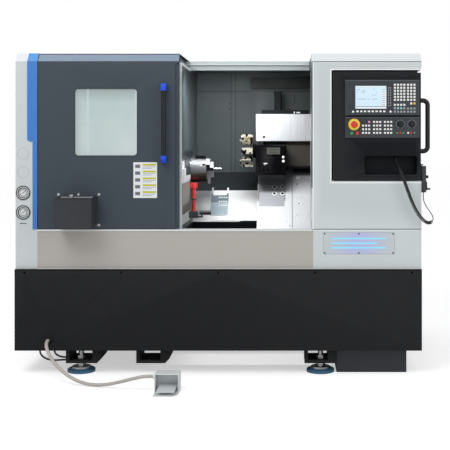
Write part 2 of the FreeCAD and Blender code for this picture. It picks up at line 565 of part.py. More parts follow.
def jaw_shape(angle, x0, x1, near, far, half):
    """A block that stands out from the spindle axis at an angle."""
    solid = box(x0, x1, near, far, -half, half)
    solid.rotate(Vector(0, 0, 0), Vector(1, 0, 0), angle)
    solid.translate(Vector(0, AXIS_Y, AXIS_Z))
    return solid


def jaw_wedge(angle, side):
    """What is cut from one side of a jaw so that it clears its neighbour near the axis."""
    reach, spare = 40, 0.8
    rise = side * reach * math.tan(math.radians(60))
    x = CHUCK_END - 1
    points = [Vector(x, spare, 0), Vector(x, spare + reach, rise), Vector(x, spare, rise)]
    solid = Part.Face(Part.makePolygon(points + points[:1])).extrude(Vector(60, 0, 0))
    solid.rotate(Vector(0, 0, 0), Vector(1, 0, 0), angle)
    solid.translate(Vector(0, AXIS_Y, AXIS_Z))
    return solid


def jaw_hole(angle, reach):
    """A counterbore for a jaw's screw."""
    return rod(6, (CHUCK_END + 10, *polar(reach, angle)), (JAW_END, *polar(reach, angle)))


def belt(x0, x1):
    """Flat belt round the two pulleys, one above the other."""
    y, high, low = AXIS_Y, AXIS_Z, MOTOR_Z
    lean = math.asin((PULLEY_R - MOTOR_PULLEY_R) / (high - low))

    def loop(extra):
        big, small = PULLEY_R + extra, MOTOR_PULLEY_R + extra
        out, up = math.cos(lean), -math.sin(lean)
        top = [Vector(x0, y - big * out, high + big * up), Vector(x0, y, high + big),
               Vector(x0, y + big * out, high + big * up)]
        bottom = [Vector(x0, y + small * out, low + small * up), Vector(x0, y, low - small),
                  Vector(x0, y - small * out, low + small * up)]
        edges = [Part.Arc(*top).toShape(), Part.makeLine(top[2], bottom[0]),
                 Part.Arc(*bottom).toShape(), Part.makeLine(bottom[2], top[0])]
        return Part.Face(Part.Wire(edges)).extrude(Vector(x1 - x0, 0, 0))
    return loop(GAP + BELT_T).cut(loop(GAP))


def carriage():
    """Saddle on the bed rails with its covers and the cross slide's guides."""
    x0, x1 = SADDLE_X
    s0, s1 = SADDLE_S
    low, mid, top = SADDLE_LOW_N, SADDLE_MID_N, SADDLE_TOP_N
    front = (BED_FRONT_Y - ORIGIN_Y + 5) * ROOT2
    lower = along_x([bed(front + low, low), bed(front + mid, mid), bed(s1, mid), bed(s1, low)],
                    x0, x1)
    back = (SADDLE_BACK_Y - ORIGIN_Y) * ROOT2
    upper = along_x([bed(s0, mid), bed(back + mid, mid), bed(back + top, top), bed(s0, top)],
                    x0, x1)
    tunnel = slope_box(x0, x1, Z_SCREW_S - 28, Z_SCREW_S + 28, low, low + 22)
    rail_room = [slope_box(x0, x1, s - RAIL_W / 2 - 1, s + RAIL_W / 2 + 1, low, low + 1)
                 for s in Z_RAIL_S]
    cast = joined([lower, upper]).cut([tunnel] + rail_room)
    trucks = []
    for s in Z_RAIL_S:
        for x in (x0 + 5, x1 - TRUCK_L - 5):
            truck = slope_box(x, x + TRUCK_L, s - TRUCK_W / 2, s + TRUCK_W / 2, BED_N + 6, low)
            slot = slope_box(x, x + TRUCK_L, s - RAIL_W / 2 - GAP, s + RAIL_W / 2 + GAP,
                             BED_N + 6, BED_N + RAIL_H + GAP)
            trucks.append(truck.cut(slot))
    s, n = Z_SCREW_S, Z_SCREW_N
    middle = (x0 + x1) / 2
    nut = slope_box(middle - 30, middle + 30, s - 28, s + 28, n - 20, low + 22)
    nut = nut.cut(rod(Z_SCREW_R + RUN, (middle - 30, *bed(s, n)), (middle + 30, *bed(s, n))))
    rails = [slope_box(x - RAIL_W / 2, x + RAIL_W / 2, *X_RAIL_S, top, top + X_RAIL_H)
             for x in X_RAIL_X]
    x, n = sum(X_RAIL_X) / 2, top + X_SCREW_UP
    parts["cross_screw"] = slope_bar(x, n, X_RAIL_S[0] + 5, X_RAIL_S[1] - 5, X_SCREW_R)
    ends = []
    for s in (X_RAIL_S[0] + 10, X_RAIL_S[1] - 30):
        block = slope_box(x - 22, x + 22, s, s + 18, top, n + 16)
        ends.append(block.cut(slope_bar(x, n, s, s + 18, X_SCREW_R + RUN)))
    post_s = X_RAIL_S[1] + 3
    post = slope_box(x - 45, x + 45, post_s, post_s + 12, top, SERVO_N + 45)
    servo = slope_box(x - 45, x + 45, post_s + 12, post_s + 92, SERVO_N - 45, SERVO_N + 45)
    parts["saddle"] = joined([cast, nut, post, servo] + trucks + rails + ends)

    a0, a1 = APRON_S
    sheet = COVER_T
    outer = slope_box(x0, x1, a0, X_RAIL_S[1], top, APRON_N + sheet)
    inner = slope_box(x0 + sheet, x1 - sheet, a0 + sheet, X_RAIL_S[1], top, APRON_N)
    open_top = slope_box(SLIDE_X[0] - 2, SLIDE_X[1] + 2, a1, X_RAIL_S[1], APRON_N, APRON_N + sheet)
    apron = outer.cut([inner, open_top])
    holes = [slope_rod(x, s, APRON_N, APRON_N + sheet, 5)
             for x, s in ((219, a0 + 30), (398, a0 + 30))]
    apron = apron.cut(holes)
    parts["saddle_apron"] = group([apron] + saddle_covers())


def slope_rod(x, s, n0, n1, radius):
    """A round bar that stands square on the slanted bed."""
    return rod(radius, (x, *bed(s, n0)), (x, *bed(s, n1)))


def slope_bar(x, n, s0, s1, radius, hole=0):
    """A round bar that runs up the slanted bed."""
    return rod(radius, (x, *bed(s0, n)), (x, *bed(s1, n)), hole)


def cover_at(level):
    """The n of the underside of one level of the sliding bed covers."""
    return COVER_N + level * (COVER_T + GAP)


def left_cover(x0, x1, level):
    """A sliding bed cover, which stops just above the edge of the chip pan."""
    low = cover_at(level)
    return slope_box(x0, x1, COVER_S[0], COVER_S[1] - 1, low, low + COVER_T)


def saddle_covers():
    """The sheets that slide with the saddle, on its left and right."""
    x0, x1 = SADDLE_X
    low, high = APRON_N - COVER_T - GAP, APRON_N - GAP
    right = slope_box(x1, x1 + RIGHT_COVER_L, APRON_S[0] + 4, APRON_TOP_S, low, high)
    drop = slope_box(x1, x1 + RIGHT_COVER_L, APRON_S[0] + 4, APRON_S[0] + 6, SADDLE_MID_N, low)
    holes = [slope_rod(x1 + 22, s, low, high, 6) for s in (1030, 1290)]
    return [left_cover(x0 - LEFT_COVER_L, x0, 2), joined([right, drop]).cut(holes)]


def bed_covers():
    """Fixed and middle sheets over the bed, with the chip strainer that lies on the left one."""
    fixed_end = SADDLE_X[0] + TRAVEL[0] - 5
    lip = BED_FRONT_Y - 10 + SHEET
    left = joined([left_cover(WALL_X, fixed_end, 0),
                   along_x([(lip, TROUGH_TOP - 24), (lip, lip - ORIGIN_Y + COVER_N * ROOT2),
                            bed(COVER_S[0], COVER_N), bed(COVER_S[0] + 4, COVER_N),
                            (lip + COVER_T, TROUGH_TOP - 24)], WALL_X, fixed_end)])
    low = APRON_N - 2 * (COVER_T + GAP)
    end = HALF_WIDTH - 53
    right = slope_box(RIGHT_FIXED_X, end, APRON_S[0] + 8, APRON_TOP_S, low - COVER_T, low)
    leg = slope_box(end - COVER_T, end, BED_S_TOP - 60, APRON_TOP_S, COVER_N + COVER_T, low - COVER_T)
    parts["bed_cover_fixed"] = group([left, joined([right, leg]), strainer()])
    x0, x1 = MIDDLE_COVER
    parts["bed_cover_middle"] = left_cover(x0, x1, 1)


def cross_slide():
    """Cross slide with its turret, disc and tool holders."""
    x0, x1 = SLIDE_X
    s0, s1 = SLIDE_S
    top = SADDLE_TOP_N
    low = top + X_RAIL_H + GAP
    block = slope_box(x0, x1, s0, s1, low, SLIDE_TOP_N)
    skirts = []
    for x in X_RAIL_X:
        for side in (-1, 1):
            near, far = x + side * (RAIL_W / 2 + GAP), x + side * (RAIL_W / 2 + 11)
            skirts.append(slope_box(min(near, far), max(near, far), s0, s1, top + 4, low))
    screw_x, screw_n = sum(X_RAIL_X) / 2, top + X_SCREW_UP
    tunnel = slope_box(screw_x - 24, screw_x + 24, s0, s1, low, screw_n + 18)
    nut = slope_box(screw_x - 24, screw_x + 24, s0 + 60, s0 + 110, top + 2, screw_n + 18)
    nut = nut.cut(slope_bar(screw_x, screw_n, s0 + 60, s0 + 110, X_SCREW_R + RUN))
    shield = slope_box(x0 + 3, x1 - 3, SHIELD_S, s0, APRON_N + COVER_T + GAP,
                       APRON_N + 2 * COVER_T + GAP)
    parts["cross_slide"] = joined([block.cut(tunnel), nut, shield] + skirts)

    cy, cz = bed(TURRET_S, TURRET_N)
    b0, b1 = TURRET_BODY_X
    half = TURRET_HALF
    front, high, low = cy - half, cz + TURRET_UP, cz - TURRET_DOWN
    seat = SLIDE_TOP_N * ROOT2
    back_y, back_z = bed(s1, SLIDE_TOP_N)
    body = along_x([(front, low), (ORIGIN_Y + low - seat, low), (back_y, back_z), (back_y, high),
                    (front + 13, high), (front, high - 13)], b0, b1)
    plate = box(b0 + 72, b0 + 154, front - 6, front, cz - 22, cz + 20)
    studs = [rod(8, (b1 - 13, front - 8, z), (b1 - 13, front, z)) for z in (cz - 39, cz - 64)]
    ports = [rod(5, (b0 + 24 + 30 * i, front, low + 22), (b0 + 24 + 30 * i, front + 6, low + 22))
             for i in range(4)]
    hub = rod(46, (DISC_X[1] + GAP, cy, cz), (b0, cy, cz))
    parts["turret_housing"] = joined([body, plate, hub] + studs).cut(ports)
    d0, d1 = DISC_X
    flat = DISC_R
    corners = []
    for step in range(STATIONS):
        turn = math.radians(360 / STATIONS * (step + 0.5))
        reach = flat / math.cos(math.pi / STATIONS)
        corners.append((cy + reach * math.cos(turn), cz + reach * math.sin(turn)))
    disc = along_x(corners, d0, d1)
    nose = rod(30, (d0 - 12, cy, cz), (d0, cy, cz))
    parts["turret_disc"] = joined([disc, nose])
    holders = []
    for step in range(STATIONS):
        x_out = DISC_X[0] - 20
        block = box(x_out, d1, flat, BLOCK_OUT, -19, 19)
        slot = box(x_out - 1, d1 + 1, flat + 15, BLOCK_OUT - 5, -9, 9)
        block = block.cut(slot) if step % 2 else block.cut(rod(9, (x_out, flat + 16, 0),
                                                               (d1, flat + 16, 0)))
        shank = rod(8.5, (x_out - 6, flat + 16, 0), (d1 - 4, flat + 16, 0)) if step % 2 == 0 else \
            box(x_out - 14, d1 - 4, flat + 16, BLOCK_OUT - 6, -8, 8)
        piece = joined([block, shank])
        piece.rotate(Vector(0, 0, 0), Vector(1, 0, 0), 360 / STATIONS * step)
        piece.translate(Vector(0, cy, cz))
        holders.append(piece)
    parts["tool_holders"] = group(holders)

    u = UPPER_COVER
    hood = box(*u).cut(box(u[0] + 2, u[1] - 2, u[2] + 2, u[3] - 2, u[4] - 1, u[5] - 2))
    side = box(b1 + 2, u[1], SIDE_Y, SIDE_Y + 2, 1128, u[4])
    edge = box(u[1] - 2, u[1], SIDE_Y, u[3], 1128, u[4])
    duct = rounded(*DUCT, u[5], DUCT_TOP, 8, "z")
    top_box = box(*DUCT_FOOT, u[5], u[5] + 30)
    rise = SADDLE_TOP_N * ROOT2 - ORIGIN_Y
    stays = [along_x([(u[3], u[3] + rise), (u[3] + 26, u[3] + 26 + rise), (u[3] + 26, u[5] - 30),
                      (u[3], u[5] - 30)], x, x + 22) for x in (200, 395)]
    parts["saddle_hood"] = joined([hood, side, edge, duct, top_box] + stays)


def setting_arm():
    """Tool setting arm beside the chuck, with its base on the wall."""
    x, y = ARM_X, ARM_Y
    low, high = ARM_Z
    base = box(WALL_X, x + 26, y - 26, y + 26, low - 40, low - GAP)
    bar_y, bar_z = y - 60, low - 4
    bar = rod(13, (x + 39, bar_y, bar_z), (x + 110, bar_y, bar_z))
    tail = box(x + 20, x + 60, bar_y - 6, y - 26, low - 34, low - 26)
    stay = box(x + 50, x + 58, bar_y - 6, bar_y + 6, low - 34, bar_z)
    link = box(x + 20, x + 26, y - 32, y - 20, low - 34, low - 26)
    parts["arm_base"] = joined([base, bar, tail, stay, link])
    profile = [(0, 0), (0, 11), (72, 11), (72, 16), (78, 16), (78, 11), (130, 11), (148, 15),
               (high - low, 15), (high - low, 0)]
    arm = turned(profile, (x, y, low), (0, 0, 1))
    head = box(x - 19, x + 22, y - 11, y + 11, high - 33, high)
    parts["setting_arm"] = joined([arm, head])


def strainer():
    """Plate with rows of holes that lies on the bed covers, hung from the rear guard by two tabs."""
    x0, x1 = STRAINER_X
    s0, s1 = STRAINER_S
    low, rear = cover_at(3) + 2, COVER_S[1] + 20
    plate = slope_box(x0, x1, s0, s1, low, low + 2)
    tabs = [slope_box(x, x + STRAINER_TAB, s1, rear, low, low + 2)
            for x in (x0, x1 - STRAINER_TAB)]
    feet = [slope_box(x, x + STRAINER_TAB, rear - 8, rear, COVER_N + COVER_T, low)
            for x in (x0, x1 - STRAINER_TAB)]
    holes = [slope_rod(x0 + 55 + 15 * i, s0 + 84 + 34 * j, low, low + 2, 4.5)
             for i in range(4) for j in range(3)]
    return joined([plate] + tabs + feet).cut(holes)


def round_frame(x0, x1, y0, y1, z0, z1, radius, width):
    """A flat frame with rounded corners."""
    outer = rounded(x0, x1, y0, y1, z0, z1, radius)
    inner = rounded(x0 + width, x1 - width, y0 - 1, y1 + 1, z0 + width, z1 - width,
                    radius - width)
    return outer.cut(inner)


def door():
    """Sliding door, folded over the roof, with its window, handle and tool box."""
    x0, x1 = DOOR_X
    low, strip = DOOR_LOW, DOOR_STRIP
    skin = along_x(sheet_profile(low, 0, SHEET, DOOR_ROOF_Y), x0, x1)
    inner = [(SHEET, low), (SHEET, EDGE_TOP - 4), (EDGE_DEPTH + 1, ROOF - SHEET),
             (DOOR_ROOF_Y, ROOF - SHEET), (DOOR_ROOF_Y, ROOF - 12), (DOOR_FOLD, ROOF - 14),
             (DOOR_FOLD, low)]
    ends = [along_x(inner, a, a + SHEET) for a in (x0, x1 - strip - SHEET)]
    bottom = box(x0, x1 - strip, SHEET, DOOR_FOLD, low, low + SHEET)
    step = box(x1 - strip, x1, 5, 5 + SHEET, low, EDGE_TOP - 10)
    away = box(x1 - strip, x1 + 1, -1, 5, low - 1, EDGE_TOP - 10)
    w = WINDOW
    hole = rounded(w[0], w[1], -5, 50, w[2], w[3], WINDOW_R)
    ends_in = (x0 + SHOE_PLACES[0], x1 - SHOE_PLACES[1])
    pads = [box(x, x + SHOE_L, 15, 35, SILL_TOP + GAP, low) for x in ends_in]
    shoes = [box(x, x + SHOE_L, HOOD_Y - 14, DOOR_ROOF_Y, GUIDE_Z + GUIDE_T + GAP, ROOF - SHEET)
             for x in ends_in]
    shell = joined([skin.cut(away), step, bottom] + ends + pads + shoes).cut(hole)
    seal = round_frame(w[0], w[1], -1.5, PANE_T, w[2], w[3], WINDOW_R, SEAL_W)
    lap = PANE_LAP
    pane = rounded(w[0] + SEAL_W, w[1] - SEAL_W, 1, 1 + PANE_T - 2, w[2] + SEAL_W, w[3] - SEAL_W,
                   WINDOW_R - SEAL_W)
    parts["door_window"] = pane
    retainer = round_frame(w[0] - lap, w[1] + lap, PANE_T, PANE_T + 3, w[2] - lap, w[3] + lap,
                           WINDOW_R + lap, lap + SEAL_W + 6)
    parts["door_shell"] = group([shell, joined([seal, retainer])])

    x, bottom_z, top_z = HANDLE_X, HANDLE_LOW, HANDLE_HIGH
    r, out = HANDLE_R, HANDLE_OUT
    grip = rod(r, (x, -out, bottom_z + HANDLE_END), (x, -out, top_z - HANDLE_END))
    blocks = []
    for z, other in ((bottom_z, bottom_z + HANDLE_END), (top_z, top_z - HANDLE_END)):
        outline = [(0, z), (-out + 4, z), (-out - r - 2, (z + other) / 2), (-out - r - 2, other),
                   (-out + r + 2, other), (0, z + (other - z) * 0.8)]
        blocks.append(along_x(outline, x - r - 1, x + r + 1))
    parts["door_handle"] = joined([grip] + blocks)

    b = TOOL_BOX
    wall = 2
    tray = box(b[0], b[1], b[2], 0, b[3], b[4])
    tray = tray.cut(box(b[0] + wall, b[1] - wall, b[2] + wall, -wall, b[3] + wall, b[4]))
    rim = box(b[0] - 4, b[1] + 2, b[2] - 3, b[2] + 3, b[4] - 2, b[4] + 2)
    bolts = [rod(7, (x, -6, z), (x, 0, z)) for x, z in
             ((b[0] - 13, b[4] + 12), (b[0] + 98, b[4] + 12), (b[1] + 9, b[4] + 12),
              (b[1] + 9, b[3] + 6))]
    latch = joined([rod(5, (-817, -8, b[4] + 6), (-817, 0, b[4] + 6)),
                    box(-828, -806, -12, -8, b[4] + 4, b[4] + 10),
                    box(-820, -814, -12, -8, b[4] - 8, b[4] + 4)])
    parts["tool_tray"] = group([joined([tray, rim]), latch] + bolts)


def right_column():
    """Cover on the right, with a recess for the control box, and the panel below it."""
    x0, x1 = OPEN_RIGHT, HALF_WIDTH
    low = PANEL_TOP + 3
    outer = corner_profile(low, 0, DEPTH) + [(DEPTH, low)]
    inner = corner_profile(low, SHEET, DEPTH - SHEET) + [(DEPTH - SHEET, low)]
    shell = along_x(outer, x0, x1).cut(along_x(inner, x0 - 1, x1 - SHEET))
    left_wall = along_x(corner_profile(low, SHEET, COLUMN_WALL_Y) + [(COLUMN_WALL_Y, low)],
                        x0, x0 + SHEET)
    rx, rz0, rz1 = RECESS
    depth = BOX_DEPTH + 12
    pocket = box(rx - SHEET, x1 - SHEET, SHEET, depth + SHEET, rz0 - SHEET, rz1 + SHEET)
    room = box(rx, x1 + 1, -1, depth, rz0, rz1)
    cover = joined([shell, left_wall, pocket]).cut(room)
    px, py = PIVOT_AT
    pivots = []
    for wall, plate, way in ((rz0, BOX_Z[0], 1), (rz1, BOX_Z[1], -1)):
        pivots.append(rod(PIVOT_R, (px, py, wall - way), (px, py, plate + way * SHEET)))
        pivots.append(rod(PIVOT_COLLAR_R, (px, py, wall), (px, py, plate - way * RUN)))
    parts["right_cover"] = joined([cover] + pivots)
    z0, z1 = BASE_TOP, low
    panel = box(SEAM_X, x1, 0, DEPTH, z0, z1)
    parts["right_lower_panel"] = panel.cut(box(SEAM_X - 1, x1 - SHEET, SHEET, DEPTH - SHEET,
                                               z0 - 1, z1 + 1))


def control_box():
    """Control box that swings out, with its operating panel, handle and hand unit."""
    x0, x1 = BOX_X
    z0, z1 = BOX_Z
    d = BOX_DEPTH
    shell = box(x0, x1, 0, d, z0, z1).cut(box(x0 + SHEET, x1 - SHEET, SHEET, d - SHEET,
                                              z0 + SHEET, z1 - SHEET))
    p = POCKET
    nook = box(p[0] - SHEET, p[1] + SHEET, 0, POCKET_DEPTH + SHEET, p[2] - SHEET, p[3] + SHEET)
    room = rounded(p[0], p[1], -20, POCKET_DEPTH, p[2], p[3], POCKET_R)
    notch = box(x1 - 20, x1 + 1, -1, d + 1, z1 - 12, z1 + 1)
    notch_wall = box(x1 - 20 - SHEET, x1, 0, d, z1 - 12 - SHEET, z1)
    u = UNIT_X
    rim = UNIT_RIM
    opening = box(u[0] + rim, u[1] - rim, -1, SHEET, LOWER_Z[0] + rim, UNIT_Z[1] - rim)
    gx, gy, gz = CORD_ROUTE[0]
    gland = rod(9, (gx, gy, gz), (gx, gy, p[3]))
    px, py = PIVOT_AT
    pivot_holes = [rod(PIVOT_R + RUN, (px, py, z), (px, py, z + SHEET)) for z in (z0, z1 - SHEET)]
    body = joined([shell, nook, notch_wall]).cut([room, notch, opening] + pivot_holes)
    h = HAND_BOX
    holder = joined([box(x1, x1 + 5.7, 0, 60, h[2] + 80, h[3] + 3),
                     box(x1, x1 + 14, 10, 50, h[3] + 4, h[3] + 10)])
    parts["control_box"] = joined([body, gland, holder])
    (h0, h1), r = BOX_HANDLE_Z, BOX_HANDLE_R
    out = x1 + BOX_HANDLE_OUT - r
    bow = [(x1, 40, h0 + r), (out, 40, h0 + r), (out, 40, h1 - r), (x1, 40, h1 - r)]
    parts["box_handle"] = tube(bow, r, BOX_HANDLE_BEND)


def tube(points, radius, bend=0, name=""):
    """A round tube on straight runs joined by tangent arcs."""
    points = [Vector(*p) for p in points]
    edges, start, tightest, length = [], points[0], 1e9, 0
    for before, corner, after in zip(points, points[1:], points[2:]):
        way_in, way_out = (corner - before), (after - corner)
        half_turn = way_in.getAngle(way_out) / 2
        shorter = min(way_in.Length, way_out.Length)
        arc = bend or 0.45 * shorter / math.tan(half_turn)
        back = arc * math.tan(half_turn)
        tightest = min(tightest, arc)
        way_in.normalize()
        way_out.normalize()
        a, b = corner - way_in * back, corner + way_out * back
        middle = way_out - way_in
        middle.normalize()
        centre = corner + middle * (arc / math.cos(half_turn))
        edges.append(Part.makeLine(start, a))
        edges.append(Part.Arc(a, centre - middle * arc, b).toShape())
        start = b
    edges.append(Part.makeLine(start, points[-1]))
    path = Part.Wire(edges)
    ring = Part.Wire(Part.makeCircle(radius, points[0], points[1] - points[0]))
    solid = path.makePipeShell([ring], True, False)
    if name:
        ratio = solid.Volume / (math.pi * radius ** 2 * path.Length)
        print(f"{name}: {path.Length:.0f} mm long, tightest radius {tightest:.0f} mm, "
              f"volume over section times length {ratio:.4f}")
    return solid


def keys(xs, zs, width, height):
    """A field of raised keys."""
    face = -UNIT_PROUD
    return [box(x - width / 2, x + width / 2, face - KEY_PROUD, face, z - height / 2, z + height / 2)
            for x in xs for z in zs]


def spread(first, last, count):
    """Evenly spaced places from first to last."""
    return [first + (last - first) * i / (count - 1) for i in range(count)]


def operating_panel():
    """Screen and key panel, machine panel, stop button, push buttons and override knobs."""
    x0, x1 = UNIT_X
    face = -UNIT_PROUD
    upper = box(x0, x1, face, 0, *UNIT_Z)
    s = SCREEN
    upper = upper.cut(box(s[0], s[1], face, face + 2, s[2], s[3]))
    flap = box(x0 + 9, x0 + 46, face - 1, face, UNIT_Z[0] + 70, UNIT_Z[0] + 172)
    lower = box(x0, x1, face, 0, *LOWER_Z)
    ex, ez = STOP_AT
    collar = rod(STOP_RING_R, (ex, face - 2, ez), (ex, face, ez))
    holes = [rod(STOP_STEM_R + GAP, (ex, face - 2, ez), (ex, 0, ez))]
    holes += [rod(BUTTON_R + GAP, (x, face, z), (x, 0, z)) for x, z in (START_AT, HALT_AT)]
    holes += [rod(KNOB_STEM_R + RUN, (x, face, KNOB_Z), (x, 0, KNOB_Z)) for x in KNOB_X]
    parts["control_panels"] = group([joined([upper, flap]), joined([lower, collar]).cut(holes)])

    fields = keys(spread(773, 922, 8), [1466], 13, 9)
    fields += [rod(6, (x, face - KEY_PROUD, 1464.5), (x, face, 1464.5)) for x in (749, 957)]
    fields += keys((945.5, 957), spread(1597, 1499, 8), 8, 9)
    fields += keys(spread(981, 1033.5, 4), spread(1614, 1530, 6), 11, 11)
    fields += keys(spread(1054, 1090, 3), spread(1614, 1530, 6), 11, 11)
    fields += keys((1072, 1090), [1510], 11, 11)
    fields += keys(spread(981, 1033.5, 4), spread(1502.5, 1464.5, 3), 11, 11)
    fields += keys(spread(1054, 1090, 3), (1482, 1464.5), 11, 11)
    fields += keys(spread(804, 838, 3), spread(1387, 1346.5, 3), 11, 10)
    fields += keys([838], [1407.5], 11, 10)
    for first, last in ((865.5, 900), (926, 960.5)):
        fields += keys(spread(first, last, 3), spread(1407.5, 1346.5, 4), 11, 10)
    for first, last in ((994, 1029), (1055, 1090)):
        fields += keys(spread(first, last, 3), [1346.5], 10, 10)
    for key in fields:
        key.translate(Vector(x0 - KEYS_DRAWN[0], 0, BOX_TOP - KEYS_DRAWN[1]))
    parts["panel_keys"] = group(fields)

    profile = [(-22, 0), (-22, 12), (-20, STOP_R - 1), (-12, STOP_R), (-10, STOP_R - 3),
               (-10, STOP_STEM_R), (8, STOP_STEM_R), (8, 0)]
    parts["stop_button"] = turned(profile, (ex, face - 2, ez), (0, 1, 0))
    for name, (x, z) in (("start_button", START_AT), ("halt_button", HALT_AT)):
        parts[name] = turned([(-7, 0), (-7, BUTTON_R - 1), (-6, BUTTON_R), (5, BUTTON_R), (5, 0)],
                             (x, face, z), (0, 1, 0))
    for count, x in enumerate(KNOB_X, 1):
        base = turned([(-15, 0), (-15, 11), (-13, 12), (-4, 12), (-4, KNOB_R), (-GAP, KNOB_R),
                       (-GAP, KNOB_STEM_R), (7, KNOB_STEM_R), (7, 0)], (x, face, KNOB_Z), (0, 1, 0))
        pointer = box(x - 1, x + 1, face - 16, face - 15, KNOB_Z, KNOB_Z + 11)
        parts[f"override_knob_{count}"] = joined([base, pointer])


def hand_unit():
    """Hand unit with its wheel and selector, hung on the side of the control box."""
    x0, x1 = HAND_X
    y0, y1, z0, z1 = HAND_BOX
    body = rounded(x0, x1, y0, y1, z0, z1, 8, "x")
    wy, wz = WHEEL_AT
    ky, kz = PICK_AT
    sockets = [rod(3 + RUN, (x1 - 8, wy, wz), (x1, wy, wz)),
               rod(3 + RUN, (x1 - 8, ky, kz), (x1, ky, kz))]
    parts["hand_unit"] = body.cut(sockets)
    wheel = turned([(-7, 0), (-7, 3), (GAP, 3), (GAP, 24), (2, 27), (7, 27), (8, 25), (8, 0)],
                   (x1, wy, wz), (1, 0, 0))
    crank = rod(5, (x1 + 8, wy, wz - 17), (x1 + 28, wy, wz - 17))
    parts["hand_wheel"] = joined([wheel, crank])
    pick = turned([(-7, 0), (-7, 3), (GAP, 3), (GAP, 9), (17, 8), (17, 0)], (x1, ky, kz), (1, 0, 0))
    parts["hand_selector"] = pick


def hand_cord():
    """Curly cord from the control box to the hand unit, as its outer shape."""
    first, last = CURL_FROM, CURL_TO
    tails = [tube(CORD_ROUTE[:first + 1], CORD_R), tube(CORD_ROUTE[last:], CORD_R)]
    coil = tube(CORD_ROUTE[first:last + 1], CURL_R, 0, "hand cord coil")
    parts["hand_cord"] = joined([coil] + tails)


def pedal():
    """Foot switch on the floor with its armoured conduit, and two hoses under the base."""
    x0, x1, y0, y1 = PEDAL
    top, wall = PEDAL_H, 3
    plate = along_z([(x0, y0), (x1 - 24, y0), (x1, y0 + 40), (x1, y1), (x0, y1)], 0, 5)
    side_line = [(y0 + 70, 5), (y0 + 62, top - 14), (y0 + 74, top), (y1, top), (y1, 5)]
    inner_line = [(y0 + 60, 5), (y0 + 50, top - wall), (y1 - wall, top - wall), (y1 - wall, 5)]
    hood = along_x(side_line, x0, x1).cut(along_x(inner_line, x0 + wall, x1 - wall))
    gx, gy, gz = CONDUIT_ROUTE[-1]
    gland = rod(CONDUIT_R + 3, (gx, gy, gz), (x0, gy, gz))
    ears = [box(x, x + 5, y1 - 40, y1 - 20, 5, 34) for x in (x0 + 10, x1 - 15)]
    px, py, pz = x0 + 10, y1 - 30, 24
    pin = rod(PEDAL_PIN_R, (x0 + 10, py, pz), (x1 - 10, py, pz))
    ears = [ear.cut(pin) for ear in ears]
    parts["pedal_body"] = joined([plate, hood, gland, pin] + ears)
    t0, t1 = x0 + 17, x1 - 17
    tread = along_x([(y0 + 6, pz - 3), (py - 8, pz - 3), (py - 8, pz - 7), (py + 8, pz - 7),
                     (py + 8, pz + 7), (py - 8, pz + 7), (py - 20, pz + 3), (y0 + 6, pz + 3)], t0, t1)
    parts["pedal_tread"] = tread.cut(rod(PEDAL_PIN_R + RUN, (t0, py, pz), (t1, py, pz)))
    parts["pedal_conduit"] = tube(CONDUIT_ROUTE, CONDUIT_R, 0, "pedal conduit")
    parts["base_hoses"] = group([tube(route, HOSE_R, 0, "hose under the base")
                                 for route in HOSE_ROUTES])


def along_z(outline, z0, z1):
    """A closed outline of (x, y) pairs, drawn up from z0 to z1."""
    points = [Vector(x, y, z0) for x, y in outline]
    return Part.Face(Part.makePolygon(points + points[:1])).extrude(Vector(0, 0, z1 - z0))


def gauges():
    """Two pressure gauges in the left column, each with its bezel and needle."""
    found = []
    for z in GAUGE_Z:
        bezel = turned([(-6, GAUGE_R), (-6, GAUGE_BEZEL_R - 4), (-3, GAUGE_BEZEL_R),
                        (0, GAUGE_BEZEL_R), (0, GAUGE_BEZEL_R - 3 - GAP), (14, GAUGE_BEZEL_R - 3 - GAP),
                        (14, GAUGE_R)], (GAUGE_X, 0, z), (0, 1, 0))
        can = turned([(-1, 0), (-1, GAUGE_R), (40, GAUGE_R), (40, 0)], (GAUGE_X, 0, z), (0, 1, 0))
        needle = box(-1.2, 1.2, -2, -1, -6, GAUGE_R - 8)
        needle.rotate(Vector(0, 0, 0), Vector(0, 1, 0), 50)
        needle.translate(Vector(GAUGE_X, 0, z))
        found.append(joined([bezel, can, needle]))
    parts["pressure_gauges"] = group(found)


CORDS = ("pedal_conduit", "hand_cord")


def place():
    """Moves everything so that the origin is the bottom centre, cords left out."""
    whole = group([shape for name, shape in parts.items() if name not in CORDS])
    whole = whole.optimalBoundingBox(False, False)
    shift = Vector(-whole.Center.x, -whole.Center.y, -whole.ZMin)
    print(f"shift {shift.x:.4f} {shift.y:.4f} {shift.z:.4f}, size {whole.XLength:.1f} x "
          f"{whole.YLength:.1f} x {whole.ZLength:.1f} mm")
    for shape in parts.values():
        shape.translate(shift)


def build():
    """Makes every piece and writes it to parts."""
    for make in (base, tank, enclosure, gauges, trough, bed_casting, headstock, carriage, bed_covers,
                 cross_slide, setting_arm, door, right_column, control_box,
                 operating_panel, hand_unit, hand_cord, pedal):
        make()
    place()
    os.makedirs("parts", exist_ok=True)
    for name, shape in parts.items():
        shape.exportStep(f"parts/{name}.step")


if __name__ == "__main__":
    build()
